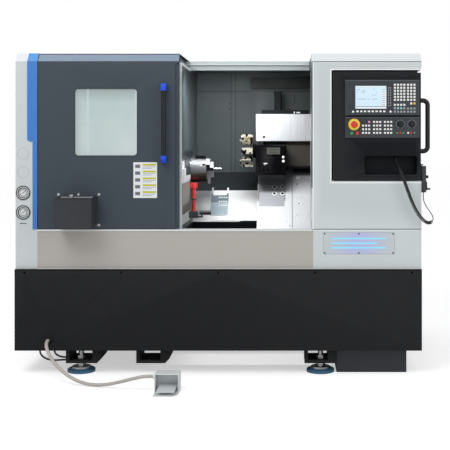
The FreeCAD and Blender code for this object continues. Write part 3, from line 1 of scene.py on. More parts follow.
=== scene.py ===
import math
import bpy
import bmesh
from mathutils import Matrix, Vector


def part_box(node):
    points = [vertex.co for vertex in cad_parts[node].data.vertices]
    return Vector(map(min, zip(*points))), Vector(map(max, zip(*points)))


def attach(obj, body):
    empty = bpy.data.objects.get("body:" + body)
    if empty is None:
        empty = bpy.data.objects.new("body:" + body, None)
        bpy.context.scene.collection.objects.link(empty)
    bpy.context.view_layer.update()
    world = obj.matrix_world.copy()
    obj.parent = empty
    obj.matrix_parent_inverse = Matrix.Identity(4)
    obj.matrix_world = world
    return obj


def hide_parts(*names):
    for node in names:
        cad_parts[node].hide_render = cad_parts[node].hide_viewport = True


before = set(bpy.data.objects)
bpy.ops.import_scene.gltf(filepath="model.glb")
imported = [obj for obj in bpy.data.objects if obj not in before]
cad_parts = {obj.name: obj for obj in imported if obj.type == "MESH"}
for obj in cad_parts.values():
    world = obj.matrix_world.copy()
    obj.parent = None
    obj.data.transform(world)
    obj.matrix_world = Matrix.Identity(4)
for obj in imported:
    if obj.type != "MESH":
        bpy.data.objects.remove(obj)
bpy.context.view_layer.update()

# The look of a turning lathe: its paints, metals and plastics, its screen, plates and small marks,
# its cords, the floor, the lamps and the camera.
#
# Places and sizes of marks are in millimetres from the machine's own zero: the middle of the
# housing in x, its front plane in y and the floor in z. spot() turns them into metres in the
# frame. What a shader works with (away_from, bump, noise) is in metres.

BASE_LOW, BASE_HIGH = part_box("base_housing")
ZERO_X = (BASE_LOW.x + BASE_HIGH.x) / 2
ZERO_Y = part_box("front_apron")[0].y

# the photograph
PICTURE = 450                    # pixels across
FOCAL = 952                      # focal length in its pixels
AXIS_PIXEL = (288, 138)          # where the lens axis meets it
EYE = (387, -5300, 1318)         # where it was taken from
SENSOR = 36                      # the camera's own width for the same picture
NEAR, FAR = 0.05, 100            # what the camera sees, in metres

# lines of the housing that marks follow
SIDE = 1131                      # just past the housing's sides
LEFT_COLUMN = -1009              # where the front of the left column ends
OPENING_END = 520                # where the opening ends and the right column begins
SILL_TOP, EDGE_TOP, ROOF = 809, 1744, 1791
EDGE_DEPTH = 40                  # of the sloped edge between the front and the roof
EDGE_START = 0.002               # metres over its lower line, where its painted highlight begins
TRIM_FROM, TRIM_NARROW, TRIM_STEP = -1065, -1035, 1296
TRIM_BACK = 121                  # how far back it reaches on the roof
TRIM_LAYER = (-30, -0.6)         # where only the blue trim stands, in front of the front plane
DOOR_PROUD = 6
PANEL_FACE = -8                  # front of the operating panels
FRONT = (-2, 2)                  # a thin layer on the housing's front plane


# colours

def rgb(red, green, blue):
    """A colour read as 0 to 255, as the shaders take it."""
    return tuple((c / 255 / 12.92) if c <= 10 else ((c / 255 + 0.055) / 1.055) ** 2.4
                 for c in (red, green, blue)) + (1,)


def toned(colour, factor, lift=0.0):
    """A colour made darker or paler."""
    return tuple(min(1, c * factor + lift) for c in colour[:3]) + (1,)


# the edge colours in the next three rows are painted highlights on the sloped edges; the pale line
# colour is a painted highlight along edges
LIGHT, PALE_EDGE_HIGHLIGHT, PALE_LINE_HIGHLIGHT = rgb(196, 204, 205), rgb(226, 231, 234), rgb(236, 238, 238)
BLUE, BLUE_EDGE_HIGHLIGHT = rgb(56, 122, 200), rgb(82, 152, 222)
DOOR, DOOR_EDGE_HIGHLIGHT = rgb(50, 61, 71), rgb(136, 153, 171)
TAUPE = rgb(172, 167, 161)
INNER, SEAM = rgb(70, 79, 81), rgb(36, 41, 43)
GAP_SHADE = rgb(14, 16, 18)            # painted shade on the side of a gap between two pieces
WHITE, DARK, SLATE = rgb(228, 232, 232), rgb(34, 37, 40), rgb(22, 26, 30)
GREEN, RED, YELLOW = rgb(28, 140, 74), rgb(206, 34, 34), rgb(232, 200, 36)
SCREEN_LIGHT, SIGN_LIGHT = rgb(204, 226, 242), rgb(120, 210, 245)


# places

def spot(x, y, z):
    """A place on the machine, in metres in the frame."""
    return Vector((x / 1000 + ZERO_X, y / 1000 + ZERO_Y, z / 1000))


def slope(x, s, n):
    """A place on the slanted bed: s up the slope to the back, n square on it."""
    return x, (s - n) / math.sqrt(2), (s + n) / math.sqrt(2)


# camera

def camera():
    """A camera where the photograph was taken from."""
    data = bpy.data.cameras.new("camera")
    data.sensor_width = SENSOR
    data.lens = data.sensor_width * FOCAL / PICTURE
    data.shift_x = -(AXIS_PIXEL[0] - PICTURE / 2) / PICTURE
    data.shift_y = (AXIS_PIXEL[1] - PICTURE / 2) / PICTURE
    data.clip_start, data.clip_end = NEAR, FAR
    eye = bpy.data.objects.new("camera", data)
    eye.location = spot(*EYE)
    eye.rotation_euler = (math.radians(90), 0, 0)
    bpy.context.collection.objects.link(eye)
    bpy.context.scene.camera = eye


camera()


# shaders

class Graph:
    """A node tree, and short ways to add to it."""

    def __init__(self, tree):
        self.nodes = tree.nodes
        self.links = tree.links

    def feed(self, socket, value):
        """Sets a socket to a number, a colour or a link."""
        if hasattr(value, "links"):
            self.links.new(value, socket)
        else:
            socket.default_value = value

    def node(self, kind, values=(), **settings):
        """A new node with its settings, and values fed to its inputs in their order."""
        made = self.nodes.new("ShaderNode" + kind)
        for setting, value in settings.items():
            setattr(made, setting, value)
        for socket, value in zip(made.inputs, values):
            self.feed(socket, value)
        return made

    def math(self, kind, *values):
        """The result of one step of arithmetic."""
        return self.node("Math", values, operation=kind).outputs[0]

    def above(self, value, limit):
        """1 where a value is over a limit, 0 elsewhere."""
        return self.math("GREATER_THAN", value, limit)

    def below(self, value, limit):
        """1 where a value is under a limit, 0 elsewhere."""
        return self.math("LESS_THAN", value, limit)

    def both(self, one, other):
        """1 where two masks are 1; also a mask made weaker by a number."""
        return self.math("MULTIPLY", one, other)

    def either(self, *masks):
        """1 where any of the masks is 1."""
        joined = masks[0]
        for mask in masks[1:]:
            joined = self.math("MAXIMUM", joined, mask)
        return joined

    def between(self, value, low, high, out_low=0.0, out_high=1.0):
        """A value between low and high, spread over another range."""
        return self.node("MapRange", (value, low, high, out_low, out_high)).outputs[0]

    def vector(self, kind, *values, result="Vector"):
        """The result of one step of vector arithmetic."""
        return self.node("VectorMath", values, operation=kind).outputs[result]

    def split(self, value):
        """The x, y and z of a vector."""
        return self.node("SeparateXYZ", (value,)).outputs


class Shader(Graph):
    """A material with its surface, and short ways to lay colours over it."""

    def __init__(self, name, colour, rough, metal=0.0, **sockets):
        self.material = bpy.data.materials.new(name)
        self.material.use_nodes = True
        super().__init__(self.material.node_tree)
        self.surface = self.nodes["Principled BSDF"]
        self.colour = colour
        self.set("Base Color", colour)
        self.set("Roughness", rough)
        self.set("Metallic", metal)
        for socket, value in sockets.items():
            self.set(socket.replace("_", " "), value)
        self.place = self.node("TexCoord").outputs["Object"]

    def set(self, socket, value):
        """Sets a socket of the surface."""
        self.feed(self.surface.inputs[socket], value)

    def mix(self, share, under, over):
        """A colour mixed from two."""
        node = self.node("Mix", data_type="RGBA")
        self.feed(node.inputs["Factor"], share)
        self.feed(node.inputs["A"], under)
        self.feed(node.inputs["B"], over)
        return node.outputs["Result"]

    def noise(self, scale, detail=3, stretch=(1, 1, 1)):
        """Noise with so many waves to a metre, closer together along an axis that is stretched."""
        spread = self.node("Mapping")
        spread.inputs["Scale"].default_value = stretch
        self.feed(spread.inputs["Vector"], self.place)
        node = self.node("TexNoise")
        node.inputs["Scale"].default_value = scale
        node.inputs["Detail"].default_value = detail
        self.feed(node.inputs["Vector"], spread.outputs[0])
        return node.outputs["Fac"]

    def bump(self, height, distance, strength):
        """Lets a height stand out of the surface."""
        node = self.node("Bump")
        node.inputs["Distance"].default_value = distance
        node.inputs["Strength"].default_value = strength
        self.feed(node.inputs["Height"], height)
        self.set("Normal", node.outputs[0])

    def edges(self):
        """1 on worn outer edges, 0 on flat faces."""
        return self.between(self.node("NewGeometry").outputs["Pointiness"], 0.53, 0.6)

    def away_from(self, x, y, z):
        """How far the surface is from a place of the machine, along each axis, in metres."""
        return self.split(self.vector("SUBTRACT", self.place, tuple(spot(x, y, z))))

    def inside(self, low, high):
        """1 inside a block given by two corners on the machine, 0 outside it."""
        low, high = spot(*low), spot(*high)
        away = self.vector("SUBTRACT", self.place, tuple((low + high) / 2))
        away = self.vector("SUBTRACT", self.vector("ABSOLUTE", away), tuple((high - low) / 2))
        return self.below(self.either(*self.split(away)), 0.0)

    def ball(self, x, y, z, radius, inner=0.0):
        """1 inside a ball, or a shell, round a place of the machine: a dot or ring on a face."""
        away = self.vector("DISTANCE", self.place, tuple(spot(x, y, z)), result="Value")
        dot = self.below(away, radius / 1000)
        return self.both(dot, self.above(away, inner / 1000)) if inner else dot

    def over(self, mask, value, socket="Base Color"):
        """Lays a colour, or a number, over the surface where a mask is 1."""
        links = self.surface.inputs[socket].links
        if socket == "Base Color":
            under = links[0].from_socket if links else self.colour
            self.set(socket, self.mix(mask, under, value))
            return
        under = links[0].from_socket if links else self.surface.inputs[socket].default_value
        gap = self.math("SUBTRACT", value, under)
        self.set(socket, self.math("MULTIPLY_ADD", mask, gap, under))

    def blocks(self, colour, *corners):
        """Lays a colour inside each of the blocks given by two corners."""
        for low, high in corners:
            self.over(self.inside(low, high), colour)

    def front(self, colour, layer, *marks):
        """Lays a colour on marks of a front face: left, right, low and high of each, all of them
        in one layer from near to far."""
        near, far = layer
        self.blocks(colour, *[((left, near, low), (right, far, high))
                              for left, right, low, high in marks])

    def dots(self, colour, radius, *places, inner=0.0):
        """Lays a colour on a dot, or a ring, at each of the places."""
        for place in places:
            self.over(self.ball(*place, radius, inner), colour)


def paint(name, colour, rough=0.42, wear=0.25, grime=0.12, peel=0.00025, coat=0.15, shine=0.5):
    """Sprayed and baked paint: orange peel, faint clouds in the colour and paler worn edges."""
    s = Shader(name, colour, rough, Coat_Weight=coat, Coat_Roughness=0.3,
               Specular_IOR_Level=shine)
    cloud = s.between(s.noise(scale=2.3, detail=4), 0.35, 0.7, out_high=grime)
    body = s.mix(cloud, colour, toned(colour, 0.72))
    s.set("Base Color", s.mix(s.both(s.edges(), wear), body, toned(colour, 1.25, 0.05)))
    s.set("Roughness", s.between(s.noise(scale=14, detail=5), 0.3, 0.7, rough - 0.06, rough + 0.08))
    s.bump(s.noise(scale=900, detail=2), peel, strength=0.35)
    return s


def cast(name, colour, rough=0.55, shine=0.5):
    """Painted casting: a coarse skin under the paint."""
    s = paint(name, colour, rough, wear=0.35, grime=0.3, coat=0.0, shine=shine)
    s.bump(s.noise(scale=180, detail=6), 0.0008, strength=0.5)
    return s


def steel(name, colour, rough, grain=(1, 1, 1), scale=60, streak=0.12):
    """Metal with a grain that runs along the axis of least stretch, in streaks and with stains."""
    s = Shader(name, colour, rough, metal=1.0)
    line = s.noise(scale, detail=4, stretch=grain)
    dark, pale = toned(colour, 1 - streak * 2), toned(colour, 1 + streak)
    stain = s.between(s.noise(scale=5, detail=5), 0.5, 0.75, out_high=0.35)
    s.set("Base Color", s.mix(stain, s.mix(s.between(line, 0.3, 0.7), dark, pale), dark))
    s.set("Roughness", s.between(line, 0.25, 0.75, rough - 0.07, rough + 0.1))
    s.bump(line, 0.00004, strength=0.6)
    return s


def plastic(name, colour, rough=0.5, **sockets):
    """Moulded plastic or rubber with a fine texture and paler edges."""
    s = Shader(name, colour, rough, **sockets)
    pale = toned(colour, 1.5, 0.02)
    fleck = s.between(s.noise(scale=220, detail=4), 0.35, 0.75, out_high=0.22)
    s.set("Base Color", s.mix(s.both(s.edges(), 0.3), s.mix(fleck, colour, pale), pale))
    s.set("Roughness", s.between(s.noise(scale=60, detail=4), 0.3, 0.7, rough - 0.08, rough + 0.1))
    s.bump(s.noise(scale=1600), 0.00012, strength=0.5)
    return s


# cords

CONDUIT_ROUTE = [(-940, -40, 199), (-940, -68, 199), (-932, -108, 180), (-910, -140, 147),
                 (-878, -168, 112), (-836, -194, 77), (-783, -218, 45), (-719, -240, 20),
                 (-645, -261, 10), (-566, -286, 19), (-489, -314, 41), (-420, -334, 63),
                 (-364, -346, 78), (-316, -346, 78)]
CORD_ROUTE = [(992, 30, 1207), (992, 30, 1189), (996, -4, 1170), (1003, -34, 1152),
              (1012, -48, 1128), (1023, -54, 1095), (1036, -56, 1059), (1050, -57, 1018),
              (1066, -57, 975), (1085, -56, 932), (1107, -55, 894), (1131, -53, 866),
              (1154, -50, 849), (1178, -44, 851), (1191, -36, 868), (1187, -26, 890),
              (1171, -14, 915), (1154, 0, 941), (1144, 16, 968), (1144, 28, 992),
              (1144, 28, 1015)]
HOSE_ROUTES = [[(-1003, 30, 146), (-1003, 30, 114), (-984, 34, 90), (-955, 42, 74),
                (-918, 54, 68), (-884, 60, 70), (-857, 60, 70)],
               [(-921, 30, 146), (-921, 30, 118), (-906, 40, 99), (-882, 54, 86),
                (-857, 54, 86)]]
CONDUIT_R, RIB_PITCH, RIB_DEPTH = 9, 5.6, 0.8
RIB_POINTS = 4                   # points of the line to a rib
CORD_R, CURL_R, CURL_PITCH = 2.6, 10.5, 6.6
CURL_FROM, CURL_TO = 3, 14       # the stretch of the route that is curled
CURL_LEAD = 24                   # over which a curl opens out
CURL_ROOM = 0.2                  # between the curls and the plain cord of the CAD round them
CORD_STEP = 0.4                  # between the points of the line
HOSE_R, HOSE_STEP = 5, 2


def smooth_line(route):
    """Points along the smooth curve that a route's points guide."""
    data = bpy.data.curves.new("route", "CURVE")
    data.dimensions = "3D"
    data.resolution_u = 16
    spline = data.splines.new("NURBS")
    spline.points.add(len(route) - 1)
    for point, place in zip(spline.points, route):
        point.co = (*spot(*place), 1)
    spline.order_u = 3
    spline.use_endpoint_u = True
    holder = bpy.data.objects.new("route", data)
    bpy.context.collection.objects.link(holder)
    mesh = bpy.data.meshes.new_from_object(holder)
    line = [v.co.copy() for v in mesh.vertices]
    bpy.data.objects.remove(holder)
    return line


def walk(line, step):
    """The line's points again, an even step apart."""
    places, left, last = [line[0].copy()], step, line[0]
    for point in line[1:]:
        run = (point - last).length
        gone = 0.0
        while run - gone >= left:
            gone += left
            places.append(last.lerp(point, gone / run))
            left = step
        left -= run - gone
        last = point
    places.append(line[-1].copy())
    return places


def frames(line):
    """For each point of a line, two directions square to it that don't twist."""
    ahead = (line[1] - line[0]).normalized()
    side = ahead.orthogonal().normalized()
    made = []
    for i in range(len(line)):
        before, after = line[max(i - 1, 0)], line[min(i + 1, len(line) - 1)]
        turned = (after - before).normalized()
        side = ahead.rotation_difference(turned) @ side
        side = (side - turned * side.dot(turned)).normalized()
        ahead = turned
        made.append((side, turned.cross(side)))
    return made


def swept(name, line, radius_at, shader, body, sides=16):
    """A round tube along a line, with a radius for each of its points, that rides on a body."""
    points, faces = [], []
    for i, (centre, (side, up)) in enumerate(zip(line, frames(line))):
        for k in range(sides):
            turn = 2 * math.pi * k / sides
            points.append(centre + (side * math.cos(turn) + up * math.sin(turn)) * radius_at(i))
            if i:
                a, b = (i - 1) * sides + k, (i - 1) * sides + (k + 1) % sides
                faces.append((a, b, b + sides, a + sides))
    last = len(points) - sides
    faces += [tuple(range(sides))[::-1], tuple(range(last, last + sides))]

    mesh = bpy.data.meshes.new(name)
    mesh.from_pydata(points, [], faces)
    shape = bmesh.new()
    shape.from_mesh(mesh)
    bmesh.ops.recalc_face_normals(shape, faces=shape.faces)
    shape.to_mesh(mesh)
    shape.free()
    mesh.materials.append(shader.material)
    for face in mesh.polygons:
        face.use_smooth = True
    piece = bpy.data.objects.new(name, mesh)
    bpy.context.collection.objects.link(piece)
    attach(piece, body)
    return piece


def nearest(line, place):
    """Which of a line's points is nearest to a place of the machine."""
    return min(range(len(line)), key=lambda i: (line[i] - spot(*place)).length)


def pedal_conduit():
    """Ribbed conduit from the base to the pedal."""
    shader = plastic("conduit", rgb(180, 175, 169), 0.4)
    line = walk(smooth_line(CONDUIT_ROUTE), RIB_PITCH / RIB_POINTS / 1000)

    def ribbed(i):
        """A little thinner at each rib's start."""
        return (CONDUIT_R - RIB_DEPTH * (i % RIB_POINTS == 0)) / 1000

    piece = swept("conduit_look", line, ribbed, shader, "machine_frame")
    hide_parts("pedal_conduit")


def curly_cord():
    """Curly cord from the control box to the hand unit."""
    shader = plastic("cord", rgb(16, 17, 19), 0.5)
    line = walk(smooth_line(CORD_ROUTE), CORD_STEP / 1000)
    start, end = nearest(line, CORD_ROUTE[CURL_FROM]), nearest(line, CORD_ROUTE[CURL_TO])
    rate, lead = 2 * math.pi * CORD_STEP / CURL_PITCH, CURL_LEAD / CORD_STEP
    path, turn = [], 0.0
    for i, (centre, (side, up)) in enumerate(zip(line, frames(line))):
        open_out = min(1, max(0, min(i - start, end - i)) / lead)
        turn += rate * open_out
        reach = (CURL_R - CORD_R - CURL_ROOM) / 1000 * (3 - 2 * open_out) * open_out ** 2
        path.append(centre + (side * math.cos(turn) + up * math.sin(turn)) * reach)
    piece = swept("hand_cord_look", path, lambda i: CORD_R / 1000, shader, "control", sides=8)
    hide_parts("hand_cord")


def base_hoses():
    """Two black hoses from the base to a foot bracket."""
    shader = plastic("hose", rgb(16, 18, 20), 0.45)
    for count, route in enumerate(HOSE_ROUTES, 1):
        line = walk(smooth_line(route), HOSE_STEP / 1000)
        piece = swept(f"base_hose_{count}", line, lambda i: HOSE_R / 1000, shader,
                      "machine_frame")
        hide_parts("base_hoses")


pedal_conduit()
curly_cord()
base_hoses()


# the housing

GAUGE_X, GAUGE_Z = -1087, (1013, 904)
KNOCK_OUT_Z, KNOCK_OUT_R = (1231, 1127), 33
SIGN = (582, 981, 671, 792)      # left, right, low and high of the lit plate
SIGN_BARS = [(48, 350, 84), (48, 300, 58), (48, 350, 32)]   # left, right and low, on the plate
SIGN_BAR_TALL = 7
BASE_HIGHLIGHT_LINE = (-SIDE, SIDE, 588, 593)      # a painted highlight line over the base
COLUMN_SEAMS = [(519, SIDE, 808, 813), (519, SIDE, 1741, 1746)]
# painted highlights along the rim of the control box's recess and along the column's edge by the
# opening
COLUMN_RIM_HIGHLIGHTS = [(622, 629, 1068, 1702), (622, SIDE, 1697, 1703), (622, SIDE, 1066, 1072),
               (524, 529, 809, 1743)]
WALL_LAYER = (-222.5, -205)      # on the face of the wall beside the chuck
BACK_SEAMS = [(4, 8, 1090, 1750), (32, 36, 1090, 1750), (-222, 1080, 1628, 1632),
              (430, 434, 1553, 1606)]


def slanted(s, front=0.0):
    """1 on the sloped edge between the housing's front and its roof, 0 elsewhere."""
    _, y, z = s.away_from(0, front, EDGE_TOP)
    return s.both(s.above(z, EDGE_START), s.below(y, (EDGE_DEPTH + 1) / 1000))


def pale_paint(name):
    """Pale grey paint of the housing, with a painted highlight on the sloped edge."""
    s = paint(name, LIGHT, 0.38, wear=0.3, grime=0.08)
    s.over(slanted(s), PALE_EDGE_HIGHLIGHT)
    return s


def rear_hood():
    """Roof and rear sheet, with a painted highlight on the front of the roof over the opening."""
    s = pale_paint("pale_paint")
    # painted highlight: the front of the roof over the opening a little paler
    s.front(rgb(204, 213, 215), (570, 584), (LEFT_COLUMN, OPENING_END, 1700, 1795))
    return s


def left_cover():
    """Left end cover, with the blue trim, two blank knock-outs and a slot mark."""
    s = pale_paint("pale_paint_with_band")
    near, far = TRIM_LAYER
    upper = s.inside((TRIM_FROM, near, TRIM_STEP), (LEFT_COLUMN, far, EDGE_TOP + 2))
    lower = s.inside((TRIM_NARROW, near, SILL_TOP - 1), (LEFT_COLUMN, far, TRIM_STEP))
    _, y, z = s.away_from(0, 0, EDGE_TOP)
    rise = (ROOF - EDGE_TOP) / EDGE_DEPTH
    over_slope = s.above(s.math("SUBTRACT", z, s.math("MULTIPLY", y, rise)), 0.0012)
    over_roof = s.above(z, (ROOF - EDGE_TOP + 0.8) / 1000)
    across = s.inside((TRIM_FROM, near, EDGE_TOP), (LEFT_COLUMN, TRIM_BACK, ROOF + 10))
    bent = s.both(s.either(s.both(over_slope, s.above(z, 0.0)), over_roof), across)
    s.over(s.either(upper, lower, bent), BLUE)
    # painted highlight on the blue trim where it bends over the slope and the roof
    s.over(s.both(bent, s.above(z, EDGE_START)), BLUE_EDGE_HIGHLIGHT)
    s.dots(rgb(172, 180, 182), KNOCK_OUT_R, *[(GAUGE_X, 0, z) for z in KNOCK_OUT_Z],
           inner=KNOCK_OUT_R - 3)
    s.front(rgb(140, 147, 149), FRONT, (GAUGE_X - 16, GAUGE_X + 16, 841, 845))  # slot mark
    return s


def right_cover():
    """Right column, with its seams, painted highlights on the rim of the control box's recess and a
    dark gap of painted shade.
    """
    s = pale_paint("pale_paint_of_column")
    s.front(rgb(108, 116, 120), FRONT, *COLUMN_SEAMS)
    # painted highlights along the rim of the control box's recess and the column's edge by the
    # opening
    s.front(rgb(240, 243, 244), FRONT, *COLUMN_RIM_HIGHLIGHTS)
    # painted shade on the column's inner side by the opening
    s.front(GAP_SHADE, (-30, 130), (500, 524, 1040, 1743))
    return s


def door_frame():
    """Pale frame round the opening, with a painted highlight on the front of its top and a gap at
    its right in painted shade.
    """
    s = paint("frame_strip", rgb(214, 220, 221), 0.36, grime=0.05)
    # painted highlight on the front of the frame's top
    s.front(rgb(242, 248, 249), (-10, 600), (LEFT_COLUMN, OPENING_END, 1690, 1800))
    # painted shade at the opening's right edge
    s.front(GAP_SHADE, (-30, 130), (498, 527, 1040, 1743))
    return s


def lower_panel():
    """Right lower panel with its sign plate in a painted glow: lilac round its middle, with plain
    bars that glow cyan, and screws.
    """
    s = paint("pale_panel", LIGHT, 0.38, grime=0.08)
    left, right, low, high = SIGN
    middle = (left + right) / 2
    plate = s.inside((left, -2, low), (right, 2, high))
    away = s.math("ABSOLUTE", s.away_from(middle, 0, low)[0])
    # painted glow: lilac round the middle of the plate, fading to the panel's grey at its ends
    s.over(plate, s.mix(s.between(away, 0.03, 0.19), rgb(186, 190, 228), LIGHT))
    within = s.inside((left + 2, -3, low + 2), (right - 2, 3, high - 2))
    s.over(s.math("SUBTRACT", plate, within), rgb(140, 150, 156))
    s.dots(rgb(70, 74, 80), 5, *[(x, 0, z) for x in (left + 9, middle, right - 9)
                                 for z in (low + 7, high - 7)])
    lit = s.either(*[s.inside((left + from_x, -2, low + from_z),
                              (left + to_x, 2, low + from_z + SIGN_BAR_TALL))
                     for from_x, to_x, from_z in SIGN_BARS])
    # painted glow: the cyan bars give off light of their own
    s.over(lit, rgb(110, 214, 240))
    s.set("Emission Color", SIGN_LIGHT)
    s.set("Emission Strength", s.both(lit, 0.35))
    # painted highlight lines along the panel's top edge and along its foot over the base
    s.front(rgb(238, 242, 244), (-3, 2), (519, SIDE, 801, 808))
    s.front(PALE_LINE_HIGHLIGHT, (-3, 2), BASE_HIGHLIGHT_LINE)
    return s


def front_apron():
    """Taupe panel under the door, with a painted highlight line along its foot."""
    s = paint("taupe_paint", TAUPE, 0.4, grime=0.1)
    s.front(PALE_LINE_HIGHLIGHT, (-3, 2), BASE_HIGHLIGHT_LINE)
    return s


def base():
    """Black base, with a darker line under its deck."""
    s = paint("base_paint", rgb(20, 21, 23), 0.55, wear=0.1, grime=0.3, coat=0.0, shine=0.2)
    s.front(rgb(8, 9, 10), (-22, -18), (-SIDE, SIDE, 582, 590))
    return s


def back_wall():
    """Back wall, paler to its top in painted light, with its seams, two holes, a recess in painted
    shade and its dark foot.
    """
    s = paint("back_wall_paint", INNER, 0.45, grime=0.18, coat=0.0, shine=0.3)
    s.dots(rgb(16, 18, 18), 7, (-2, 1085, 1549), (-2, 1085, 1512))
    # painted light: the wall turns paler towards its top
    height = s.away_from(0, 0, 1400)[2]
    s.over(s.between(height, 0.05, 0.35, out_high=0.4), rgb(112, 123, 126))
    s.front(rgb(34, 40, 40), (1030, 1084), (120, 710, 1640, 1726))  # painted shade in the recess
    s.front(SEAM, (1080, 1087), *BACK_SEAMS)
    s.front(rgb(36, 41, 44), (950, 1084), (-224, 1080, 960, 1090))  # foot
    return s


def chuck_wall():
    """Wall beside the chuck, with its pale guard and a painted shade under it, a dark patch behind
    the chuck, and a hole.
    """
    s = paint("wall_paint", rgb(78, 88, 91), 0.45, grime=0.18)

    def marks(colour, *rows):
        """Lays a colour on marks of the wall's face: near, far, low and high of each."""
        left, right = WALL_LAYER
        s.blocks(colour, *[((left, near, low), (right, far, high))
                           for near, far, low, high in rows])

    marks(rgb(150, 148, 140), (165, 560, 925, 1060))  # pale guard
    marks(rgb(52, 48, 42), (165, 620, 872, 925))  # its shade
    marks(rgb(252, 252, 252), (165, 560, 1056, 1150), (165, 300, 1140, 1185))  # bright plate
    s.dots(rgb(12, 12, 14), 10, (WALL_LAYER[0] + 0.5, 270, 1128))  # hole
    marks(rgb(40, 46, 52), (300, 760, 1096, 1240))  # behind the chuck
    marks(rgb(206, 208, 208), (165, 620, 815, 872))  # foot
    return s


def housing():
    """Paints of the fixed housing and of what stands in it."""
    return {"rear_hood": rear_hood(), "left_end_cover": left_cover(),
            "right_cover": right_cover(), "door_frame": door_frame(),
            "front_apron": front_apron(), "right_lower_panel": lower_panel(),
            "base_housing": base(), "back_wall": back_wall(), "spindle_side_wall": chuck_wall(),
            "coolant_tank": paint("tank_paint", rgb(32, 36, 44), 0.45, grime=0.25, shine=0.3),
            "coolant_pump": paint("pump_paint", rgb(58, 70, 82), 0.4),
            "chip_pan": paint("pan_paint", rgb(8, 11, 15), 0.5, grime=0.3, coat=0.0, shine=0.1),
            "arm_base": paint("arm_base_paint", DARK, 0.45),
            "spindle_motor": paint("motor_paint", rgb(30, 30, 32), 0.4)}


# castings and metals of the work space

SHIELD = (202, 366)              # left and right of the bright shield on the cross slide
SHIELD_HOLES = [slope(x, s, 161) for x in (301, 352) for s in (1205, 1262)]
COVER_HOLES = [slope(451, 1346, 160), slope(456, 1125, 160)]
STRAINER_TOP = 15.9              # above the bed's rails, square on the slope
STRAINER_HOLES = [slope(x, s, STRAINER_TOP) for x in (-58, -43, -28, -13)
                  for s in (1232, 1266, 1300)]


def castings():
    """Painted iron of the bed, headstock and slides."""
    grey = cast("cast_paint", rgb(92, 98, 100))
    slide = cast("slide_paint", rgb(84, 90, 92))
    left, right = SHIELD
    low, high = slope(left, 1100, 162), slope(right, 1311, 162)
    shield = slide.inside((left, low[1] - 8, low[2] - 8), (right, high[1] + 1, high[2] + 1))
    slide.over(shield, rgb(150, 152, 156))
    slide.over(shield, 0.6, "Metallic")
    slide.dots(rgb(245, 247, 248), 14.5, *SHIELD_HOLES)
    slide.dots(rgb(6, 6, 8), 10, *SHIELD_HOLES)
    return {"bed_casting": grey, "headstock": grey, "saddle": grey, "cross_slide": slide,
            "turret_housing": turret_housing()}


def turret_housing():
    """Black casting, with its small plate of three lines and its white marks."""
    s = cast("turret_paint", rgb(5, 5, 7), 0.6, 0.03)
    s.front(rgb(76, 78, 74), (658, 664), (255, 337, 1215, 1259))  # plate
    s.front(rgb(40, 42, 40), (658, 664), (265, 328, 1245, 1248), (265, 316, 1236, 1239),
            (265, 322, 1226, 1229))
    s.front(WHITE, (664, 668), (233, 258, 1156, 1161), (238, 246, 1148, 1152))  # arrow
    s.dots(WHITE, 9, (358, 658, 1199), (358, 658, 1174))  # spots
    return s


def chuck():
    """Turned steel of the chuck and its jaws, in painted brown shade below and dark where the jaws'
    slots are.
    """
    s = steel("chuck_steel", rgb(129, 131, 135), 0.5, grain=(40, 1, 1), scale=50, streak=0.08)
    s.front(rgb(112, 106, 98), (540, 620), (-215, -112, 1040, 1104))  # painted brown shade on the lower half
    s.front(DARK, (540, 740), (-215, -112, 1030, 1062), (-190, -122, 1188, 1215))
    s.dots(DARK, 7, (-146, 566, 1152), (-134, 566, 1152), (-124, 566, 1152))
    s.dots(WHITE, 4, (-146, 560, 1152))
    return s


def saddle_sheets():
    """Brushed sheet of the saddle's apron, dark to its top in painted shade and reflection, and of
    the pale moving slide cover.
    """
    s = steel("brushed_sheet", rgb(206, 208, 211), 0.5, grain=(40, 40, 1), scale=8, streak=0.13)
    s.set("Metallic", 0.35)
    # painted shade and reflection of the dark inside: darker to the apron's top
    height = s.away_from(0, 0, 1050)[2]
    s.over(s.between(height, -0.09, 0.0, out_high=0.75), rgb(84, 86, 90))
    slide_cover = s.inside((-260, 480, 690), (197, 1190, 1120))
    s.over(slide_cover, rgb(234, 235, 236))
    s.over(slide_cover, 0.1, "Metallic")
    s.front(rgb(70, 74, 78), (510, 880), (411, 415, 740, 1100))  # seam
    s.dots(WHITE, 11, *COVER_HOLES)
    s.dots(rgb(10, 10, 12), 7, *COVER_HOLES)
    return s


def saddle_hood():
    """Bright hood over the turret, with the dark duct above it, a painted shade and highlight along
    its top edge, and the side under it in painted brown shade with a painted shadow at its foot.
    """
    s = steel("hood_sheet", rgb(205, 208, 212), 0.45, grain=(40, 40, 1), scale=8, streak=0.09)
    s.front(rgb(140, 146, 152), (742, 752), (206, 540, 1448, 1456))  # painted shade under the top edge
    duct = s.inside((200, 890, 1470.5), (540, 1020, 1640))
    side = s.inside((372, 798, 1120), (529, 803, 1298))
    foot = s.inside((372, 796, 1120), (540, 803, 1140))
    s.over(duct, SLATE)
    # painted shade: the side under the hood, in brown
    s.over(side, rgb(62, 59, 54))
    s.dots(DARK, 8, (234, 762, 1324))  # hole
    # painted shadow under the side, at its foot
    s.over(foot, rgb(20, 20, 20))
    dull = s.either(duct, side)
    s.over(dull, 0.0, "Metallic")
    s.over(dull, 0.1, "Specular IOR Level")
    s.front(rgb(214, 217, 220), (742, 752), (200, 540, 1446, 1449))  # painted highlight line below it
    s.front(WHITE, (895, 903), (424, 432, 1478, 1490), (441, 466, 1480, 1488))  # marks
    return s


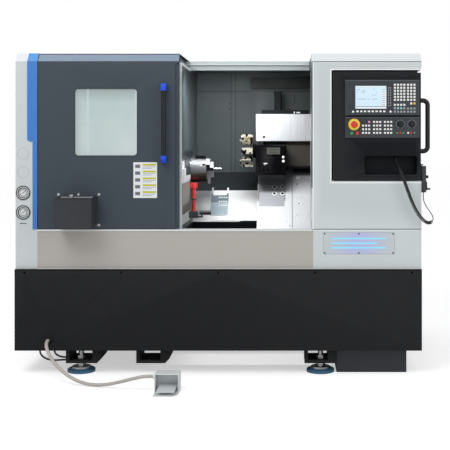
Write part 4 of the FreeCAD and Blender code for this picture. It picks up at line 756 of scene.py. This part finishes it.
def bed_covers():
    """Pale slide covers, in the chuck's shade at the left, with the strainer's plate and holes."""
    s = steel("cover_sheet", rgb(248, 249, 250), 0.42, grain=(1, 30, 30), scale=8, streak=0.05)
    s.set("Metallic", 0.1)
    x, _, z = s.away_from(-200, 0, 1000)
    shade = s.both(s.between(x, 0.07, 0.14, out_low=0.85, out_high=0), s.between(z, -0.13, -0.06))
    s.over(shade, rgb(66, 70, 76))
    strainer = s.inside(slope(-114, 1146, 12), (2, 948, 955))
    s.over(strainer, rgb(166, 184, 192))
    s.over(s.both(strainer, s.above(z, -0.1)), rgb(112, 124, 132))
    s.dots(rgb(236, 240, 242), 6.5, *STRAINER_HOLES, inner=4.5)
    return s


def holders():
    """Cream metal of the tool holders, with brass spots and dark slots between them."""
    s = steel("holder_steel", rgb(222, 219, 204), 0.36, grain=(8, 8, 8), scale=20, streak=0.2)
    s.over(s.between(s.noise(scale=26, detail=1), 0.6, 0.63), rgb(186, 164, 88))
    slots = s.noise(scale=40, detail=0, stretch=(1.1, 1, 0.9))
    s.over(s.between(slots, 0.55, 0.57), rgb(20, 20, 20))
    return s


def metals():
    """Ground, turned and brushed metals."""
    turned = steel("turned_steel", rgb(205, 206, 208), 0.3, grain=(30, 1, 1))
    gripped, covers = chuck(), bed_covers()
    return {"spindle": turned, "motor_pulley": turned, "bed_screw": turned,
            "cross_screw": turned, "work_bar": turned, "chuck_body": gripped,
            "chuck_jaw_1": gripped, "chuck_jaw_2": gripped, "chuck_jaw_3": gripped,
            "saddle_apron": saddle_sheets(), "saddle_hood": saddle_hood(),
            "bed_cover_fixed": covers, "bed_cover_middle": covers, "tool_holders": holders(),
            "turret_disc": steel("disc_steel", rgb(70, 70, 72), 0.4),
            "foot_screws": steel("zinc_steel", rgb(190, 192, 190), 0.4, scale=30, streak=0.2)}


# controls and small pieces

SCREEN = (760, 934, 1481, 1608)  # left, right, low and high
SCREEN_WORDS = [(10, 16, 92), (34, 54, 90), (38, 56, 98), (10, 30, 104), (96, 106, 74),
                (112, 118, 74), (116, 122, 86), (100, 108, 104), (12, 60, 52), (72, 84, 52),
                (94, 124, 52)]   # left, right and low, on the screen
WORD_TALL = 3
SOFT_KEYS, SOFT_KEY_PITCH = 8, 12
STOP = (755, PANEL_FACE - 1, 1393)
KNOBS_X, KNOB_Z, TICK_R = (1012, 1075), 1395, 24
PANEL_GROOVE = (703, 1120, 1438, 1444)   # between the upper panel and the lower
DARK_FIELD = (712, 744, 1520, 1592)      # left of the screen
PANEL_EDGES = [(704, 1120, 1636, 1641), (704, 1120, 1431, 1435)]
GAUGE_RINGS = [(rgb(24, 26, 28), 40, 34.5), (rgb(196, 202, 204), 34.5, 30),
               (rgb(18, 20, 22), 30, 25.5), (rgb(214, 218, 218), 25.5, 0),
               (rgb(60, 64, 68), 20, 17.5)]     # colour, radius and inner radius
NEEDLE_LAYER = (-3, -1.4)        # in front of the gauges' faces
LABEL = (-474, -342, 984, 1183)  # left, right, low and high of the door's label
LABEL_ROWS, LABEL_PITCH = 5, 38
LABEL_LAYER = (-20, 12)


def panels():
    """Operating panels with the picture on the screen, the stop's collar and the knobs' ticks."""
    s = plastic("panel_plastic", rgb(44, 48, 54), 0.5, Specular_IOR_Level=0.3)
    x0, x1, z0, z1 = SCREEN
    lit = s.inside((x0, PANEL_FACE, z0), (x1, PANEL_FACE + 3, z1))
    s.over(lit, SCREEN_LIGHT)

    def fields(colour, *marks):
        """Lays a colour on fields of the screen: left, right, low and high of each."""
        s.front(colour, (PANEL_FACE, PANEL_FACE + 3),
                *[(x0 + left, x0 + right, z0 + low, z0 + high)
                  for left, right, low, high in marks])

    fields(WHITE, (0, 174, 120, 127), (150, 174, 14, 106), (0, 174, 0, 8))
    fields(SLATE, (6, 172, 10, 13))  # line over the foot
    rows = [20 + SOFT_KEY_PITCH * row for row in range(SOFT_KEYS)]
    fields(SLATE, *[(150, 168, low, low + 2.5) for low in rows])
    fields(rgb(150, 172, 190), (0, 4, 0, 127))  # left edge
    fields(rgb(120, 140, 158), *[(left, right, low, low + WORD_TALL)
                                 for left, right, low in SCREEN_WORDS])
    s.set("Emission Color", SCREEN_LIGHT)
    s.set("Emission Strength", s.both(lit, 0.14))

    s.dots(YELLOW, 32.5, STOP)
    s.dots(rgb(246, 240, 110), 26, STOP, inner=22)
    turns = [math.radians(turn) for turn in range(-150, 151, 30)]
    s.dots(rgb(128, 132, 136), 2.6,
           *[(x + TICK_R * math.sin(turn), PANEL_FACE, KNOB_Z + TICK_R * math.cos(turn))
             for x in KNOBS_X for turn in turns])

    s.front(rgb(24, 26, 28), (PANEL_FACE - 0.5, PANEL_FACE + 9), PANEL_GROOVE)
    skin = (PANEL_FACE - 0.5, PANEL_FACE + 2)
    s.front(rgb(26, 29, 33), skin, DARK_FIELD)
    s.front(rgb(78, 84, 90), skin, *PANEL_EDGES)
    return s


def keys():
    """Pale keys, a few of them coloured."""
    s = plastic("key_plastic", rgb(220, 221, 216), 0.5)

    def field(colour, *mark):
        """Lays a colour on a mark across the keys: left, right, low and high."""
        s.front(colour, (PANEL_FACE - 2, PANEL_FACE + 1), mark)

    def key(colour, x, z, wide=14, tall=13):
        """Lays a colour on one key, or on some that touch, round their middle."""
        field(colour, x - wide / 2, x + wide / 2, z - tall / 2, z + tall / 2)

    field(rgb(116, 120, 122), 935, 968, 1490, 1606)  # soft keys
    field(rgb(150, 153, 152), 972, 1100, 1456, 1494)  # lower rows
    key(rgb(230, 150, 166), 838, 1407.5)  # pink
    key(YELLOW, 1090, 1510)
    key(rgb(150, 196, 200), 1007, 1483.5, 46, 14)  # pale blue
    for colour, x in ((GREEN, 994), (RED, 1011.5), (GREEN, 1029), (WHITE, 1055), (RED, 1072.5),
                      (GREEN, 1090)):
        key(colour, x, 1346.5)
    return s


def gauges():
    """Pressure gauges: dark cases with bright rims and white faces with a scale."""
    s = plastic("gauge_case", rgb(150, 156, 158), 0.25)
    for z in GAUGE_Z:
        for colour, radius, inner in GAUGE_RINGS:
            s.dots(colour, radius, (GAUGE_X, -1, z), inner=inner)
        s.front(DARK, NEEDLE_LAYER, (GAUGE_X - 22, GAUGE_X + 22, z - 22, z + 22))
    return s


def door_handle():
    """Dark handle with blue ends."""
    s = plastic("handle_plastic", rgb(20, 22, 26), 0.4, Specular_IOR_Level=0.3)
    s.front(rgb(34, 84, 214), (-100, 5), (-330, -270, 1175, 1220), (-330, -270, 1580, 1625))
    return s


def door():
    """Dark door, with a painted highlight on its sloped edge, and a label of five rows of plain
    fields.
    """
    s = paint("door_paint", DOOR, 0.4, wear=0.3, grime=0.1, coat=0.05, shine=0.25)
    # painted highlight on the door's sloped edge
    s.over(slanted(s, -DOOR_PROUD), DOOR_EDGE_HIGHLIGHT)
    left, right, low, high = LABEL
    s.front(WHITE, LABEL_LAYER, LABEL)
    for row in range(LABEL_ROWS):
        z = low + 8 + LABEL_PITCH * row
        s.front(rgb(112, 116, 120), LABEL_LAYER, (left + 10, left + 38, z + 7, z + 26))
        s.front(rgb(196, 192, 52), LABEL_LAYER, (left + 52, right - 6, z + 20, z + 30))
        s.front(rgb(150, 154, 158), LABEL_LAYER, (left + 52, right - 10, z + 12, z + 15),
                (left + 52, right - 30, z + 4, z + 7))
    return s


def tray():
    """Tool tray with its bolts, a painted highlight on its rear edge, and its latch."""
    s = paint("tray_paint", rgb(38, 41, 45), 0.4, wear=0.3, grime=0.1, coat=0.05, shine=0.25)
    s.dots(rgb(190, 194, 196), 11, (-890, -3, 1004), (-779, -3, 1004), (-665, -3, 1004),
           (-665, -3, 834))
    s.front(rgb(176, 180, 184), (-20, -1), (-879, -700, 986, 991))  # painted highlight on the rear edge
    s.front(rgb(216, 214, 208), (-40, -1), (-832, -806, 988, 1012))  # latch
    return s


def control_box():
    """Black control box, with its pale gland, its pocket in painted shade with a painted highlight
    on its lower lip, and painted shadow gaps along its edges.
    """
    s = paint("control_paint", rgb(13, 16, 21), 0.5, grime=0.1, peel=0.0005, coat=0.0, shine=0.12)
    s.front(rgb(205, 208, 210), (18, 42), (979, 1005, 1204, 1222))  # gland
    s.front(rgb(4, 5, 6), (9, 60), (800, 1108, 1113, 1222))  # painted shade in the pocket
    s.front(rgb(40, 44, 48), (-2, 4), (805, 1106, 1108, 1112))  # painted highlight on its lower lip
    # painted shadow gaps along the box's top, foot and left edges
    s.front(rgb(8, 9, 11), (-2, 3), (631, 1128, 1686, 1695), (631, 1128, 1078, 1084),
            (631, 637, 1078, 1695))
    return s


def setting_arm():
    """Red arm with a dark foot."""
    s = paint("red_paint", rgb(214, 48, 46), 0.3, wear=0.2)
    s.front(DARK, (560, 600), (-215, -175, 937, 945))
    return s


def window():
    """Laminated pane: pale green, half clear, with a soft haze, a painted shade along two sides, a
    painted reflection across and one upright, a painted highlight on its rim and fine scratches."""
    s = Shader("pane", rgb(190, 204, 196), 0.12, Alpha=0.62, IOR=1.5)
    haze = s.between(s.noise(scale=3, detail=4), 0.3, 0.7)
    tone = s.mix(haze, rgb(214, 231, 232), rgb(232, 245, 244))
    x, _, z = s.away_from(-805, 0, 1214)
    shade = s.either(s.between(x, 0.004, 0.05, out_low=0.3, out_high=0),
                     s.between(z, 0.3, 0.38, out_high=0.45))
    tone = s.mix(shade, tone, rgb(120, 130, 128))
    reflections = ((z, 0.198, 0.0016, 0.5, rgb(240, 246, 244)),
                   (x, 0.077, 0.006, 0.45, rgb(244, 250, 250)))
    for across, middle, half_width, share, colour in reflections:
        away = s.math("ABSOLUTE", s.math("SUBTRACT", across, middle))
        tone = s.mix(s.both(s.below(away, half_width), share), tone, colour)
    s.set("Base Color", tone)
    # painted highlight on the pane's rim at its right and along its foot
    s.blocks(rgb(236, 244, 244), ((-463, -20, 1200), (-456, 40, 1600)),
             ((-810, -20, 1216), (-440, 40, 1223)))
    scratches = s.noise(scale=90, detail=6, stretch=(1, 1, 8))
    s.set("Roughness", s.between(scratches, 0.4, 0.8, out_low=0.08, out_high=0.25))
    s.bump(s.noise(scale=40), 0.0001, strength=0.2)
    return s


def controls():
    """Moulded, rubber and printed pieces, and small painted ones."""
    black = plastic("black_plastic", rgb(14, 16, 20), 0.42, Specular_IOR_Level=0.3)
    red = plastic("red_button", rgb(206, 28, 30), 0.3, Coat_Weight=0.4)
    return {"box_handle": black, "override_knob_1": black, "override_knob_2": black,
            "hand_wheel": black, "hand_selector": black,
            "stop_button": red, "halt_button": red,
            "start_button": plastic("green_button", GREEN, 0.3),
            "hand_unit": plastic("hand_unit", rgb(22, 24, 26), 0.45),
            "drive_belt": plastic("belt", rgb(28, 28, 28), 0.7),
            "door_handle": door_handle(), "control_panels": panels(), "panel_keys": keys(),
            "pressure_gauges": gauges(), "door_shell": door(), "door_window": window(),
            "tool_tray": tray(), "control_box": control_box(), "setting_arm": setting_arm(),
            "foot_pads": paint("foot_paint", rgb(36, 84, 112), 0.4, wear=0.5, grime=0.3),
            "pedal_body": paint("pedal_paint", rgb(226, 230, 231), 0.4, grime=0.2),
            "pedal_tread": paint("tread_paint", rgb(206, 212, 214), 0.45)}


def dress_nodes():
    """Gives every CAD node its material, apart from the three that cords above stand for."""
    made = {**housing(), **castings(), **metals(), **controls()}
    for name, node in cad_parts.items():
        if name not in made:
            continue
        if not node.material_slots:
            node.data.materials.append(None)
        for held in node.material_slots:
            held.link = "OBJECT"
            held.material = made[name].material


dress_nodes()


# floor, backdrop and lamps

FLOOR_REACH = 40                 # metres
FLOOR_GLOW = 0.5
WORLD_LIGHT = 0.5
MIDDLE = (0, 300, 900)           # what the key and the fill point at
PURE_WHITE = (1, 1, 1, 1)


def white_floor():
    """A white floor that keeps the shadow."""
    s = Shader("floor", (0.86, 0.86, 0.86, 1), 0.8)
    clouds = s.noise(scale=1.5)
    s.set("Base Color", s.mix(clouds, (0.85, 0.85, 0.86, 1), (0.88, 0.88, 0.88, 1)))
    s.set("Emission Color", PURE_WHITE)
    s.set("Emission Strength", s.both(s.node("LightPath").outputs["Is Camera Ray"], FLOOR_GLOW))
    mesh = bpy.data.meshes.new("floor")
    r = FLOOR_REACH
    mesh.from_pydata([(-r, -r, 0), (r, -r, 0), (r, r, 0), (-r, r, 0)], [], [(0, 1, 2, 3)])
    mesh.materials.append(s.material)
    floor = bpy.data.objects.new("floor", mesh)
    bpy.context.collection.objects.link(floor)


def backdrop():
    """A world that is white to the camera and in reflections, and lights the part softly."""
    world = bpy.data.worlds.new("studio")
    bpy.context.scene.world = world
    world.use_nodes = True
    g = Graph(world.node_tree)
    light = g.nodes["Background"]
    g.feed(light.inputs["Color"], PURE_WHITE)
    g.feed(light.inputs["Strength"], WORLD_LIGHT)
    white = g.node("Background", (PURE_WHITE, 1))
    path = g.node("LightPath").outputs
    seen = g.either(path["Is Camera Ray"], path["Is Glossy Ray"], path["Is Transmission Ray"])
    mix = g.node("MixShader", (seen, light.outputs[0], white.outputs[0]))
    g.feed(g.nodes["World Output"].inputs["Surface"], mix.outputs[0])


def lamp(name, place, aim, size, power, deep=None, spread=180):
    """A soft lamp that points at a place and isn't seen itself."""
    data = bpy.data.lights.new(name, "AREA")
    data.size, data.energy, data.spread = size, power, math.radians(spread)
    if deep:
        data.shape, data.size_y = "RECTANGLE", deep
    made = bpy.data.objects.new(name, data)
    made.location = spot(*place)
    made.rotation_euler = (spot(*aim) - spot(*place)).to_track_quat("-Z", "Y").to_euler()
    made.visible_camera = False
    bpy.context.collection.objects.link(made)


white_floor()
backdrop()
lamp("key", (-1800, -3000, 4600), MIDDLE, size=2.6, power=105)
lamp("fill", (3000, -3200, 2600), MIDDLE, size=2.6, power=40)
lamp("inside", (70, 230, 1690), (40, 820, 880), size=0.5, power=5.0, deep=0.14, spread=120)
bpy.context.scene.view_settings.view_transform = "Standard"
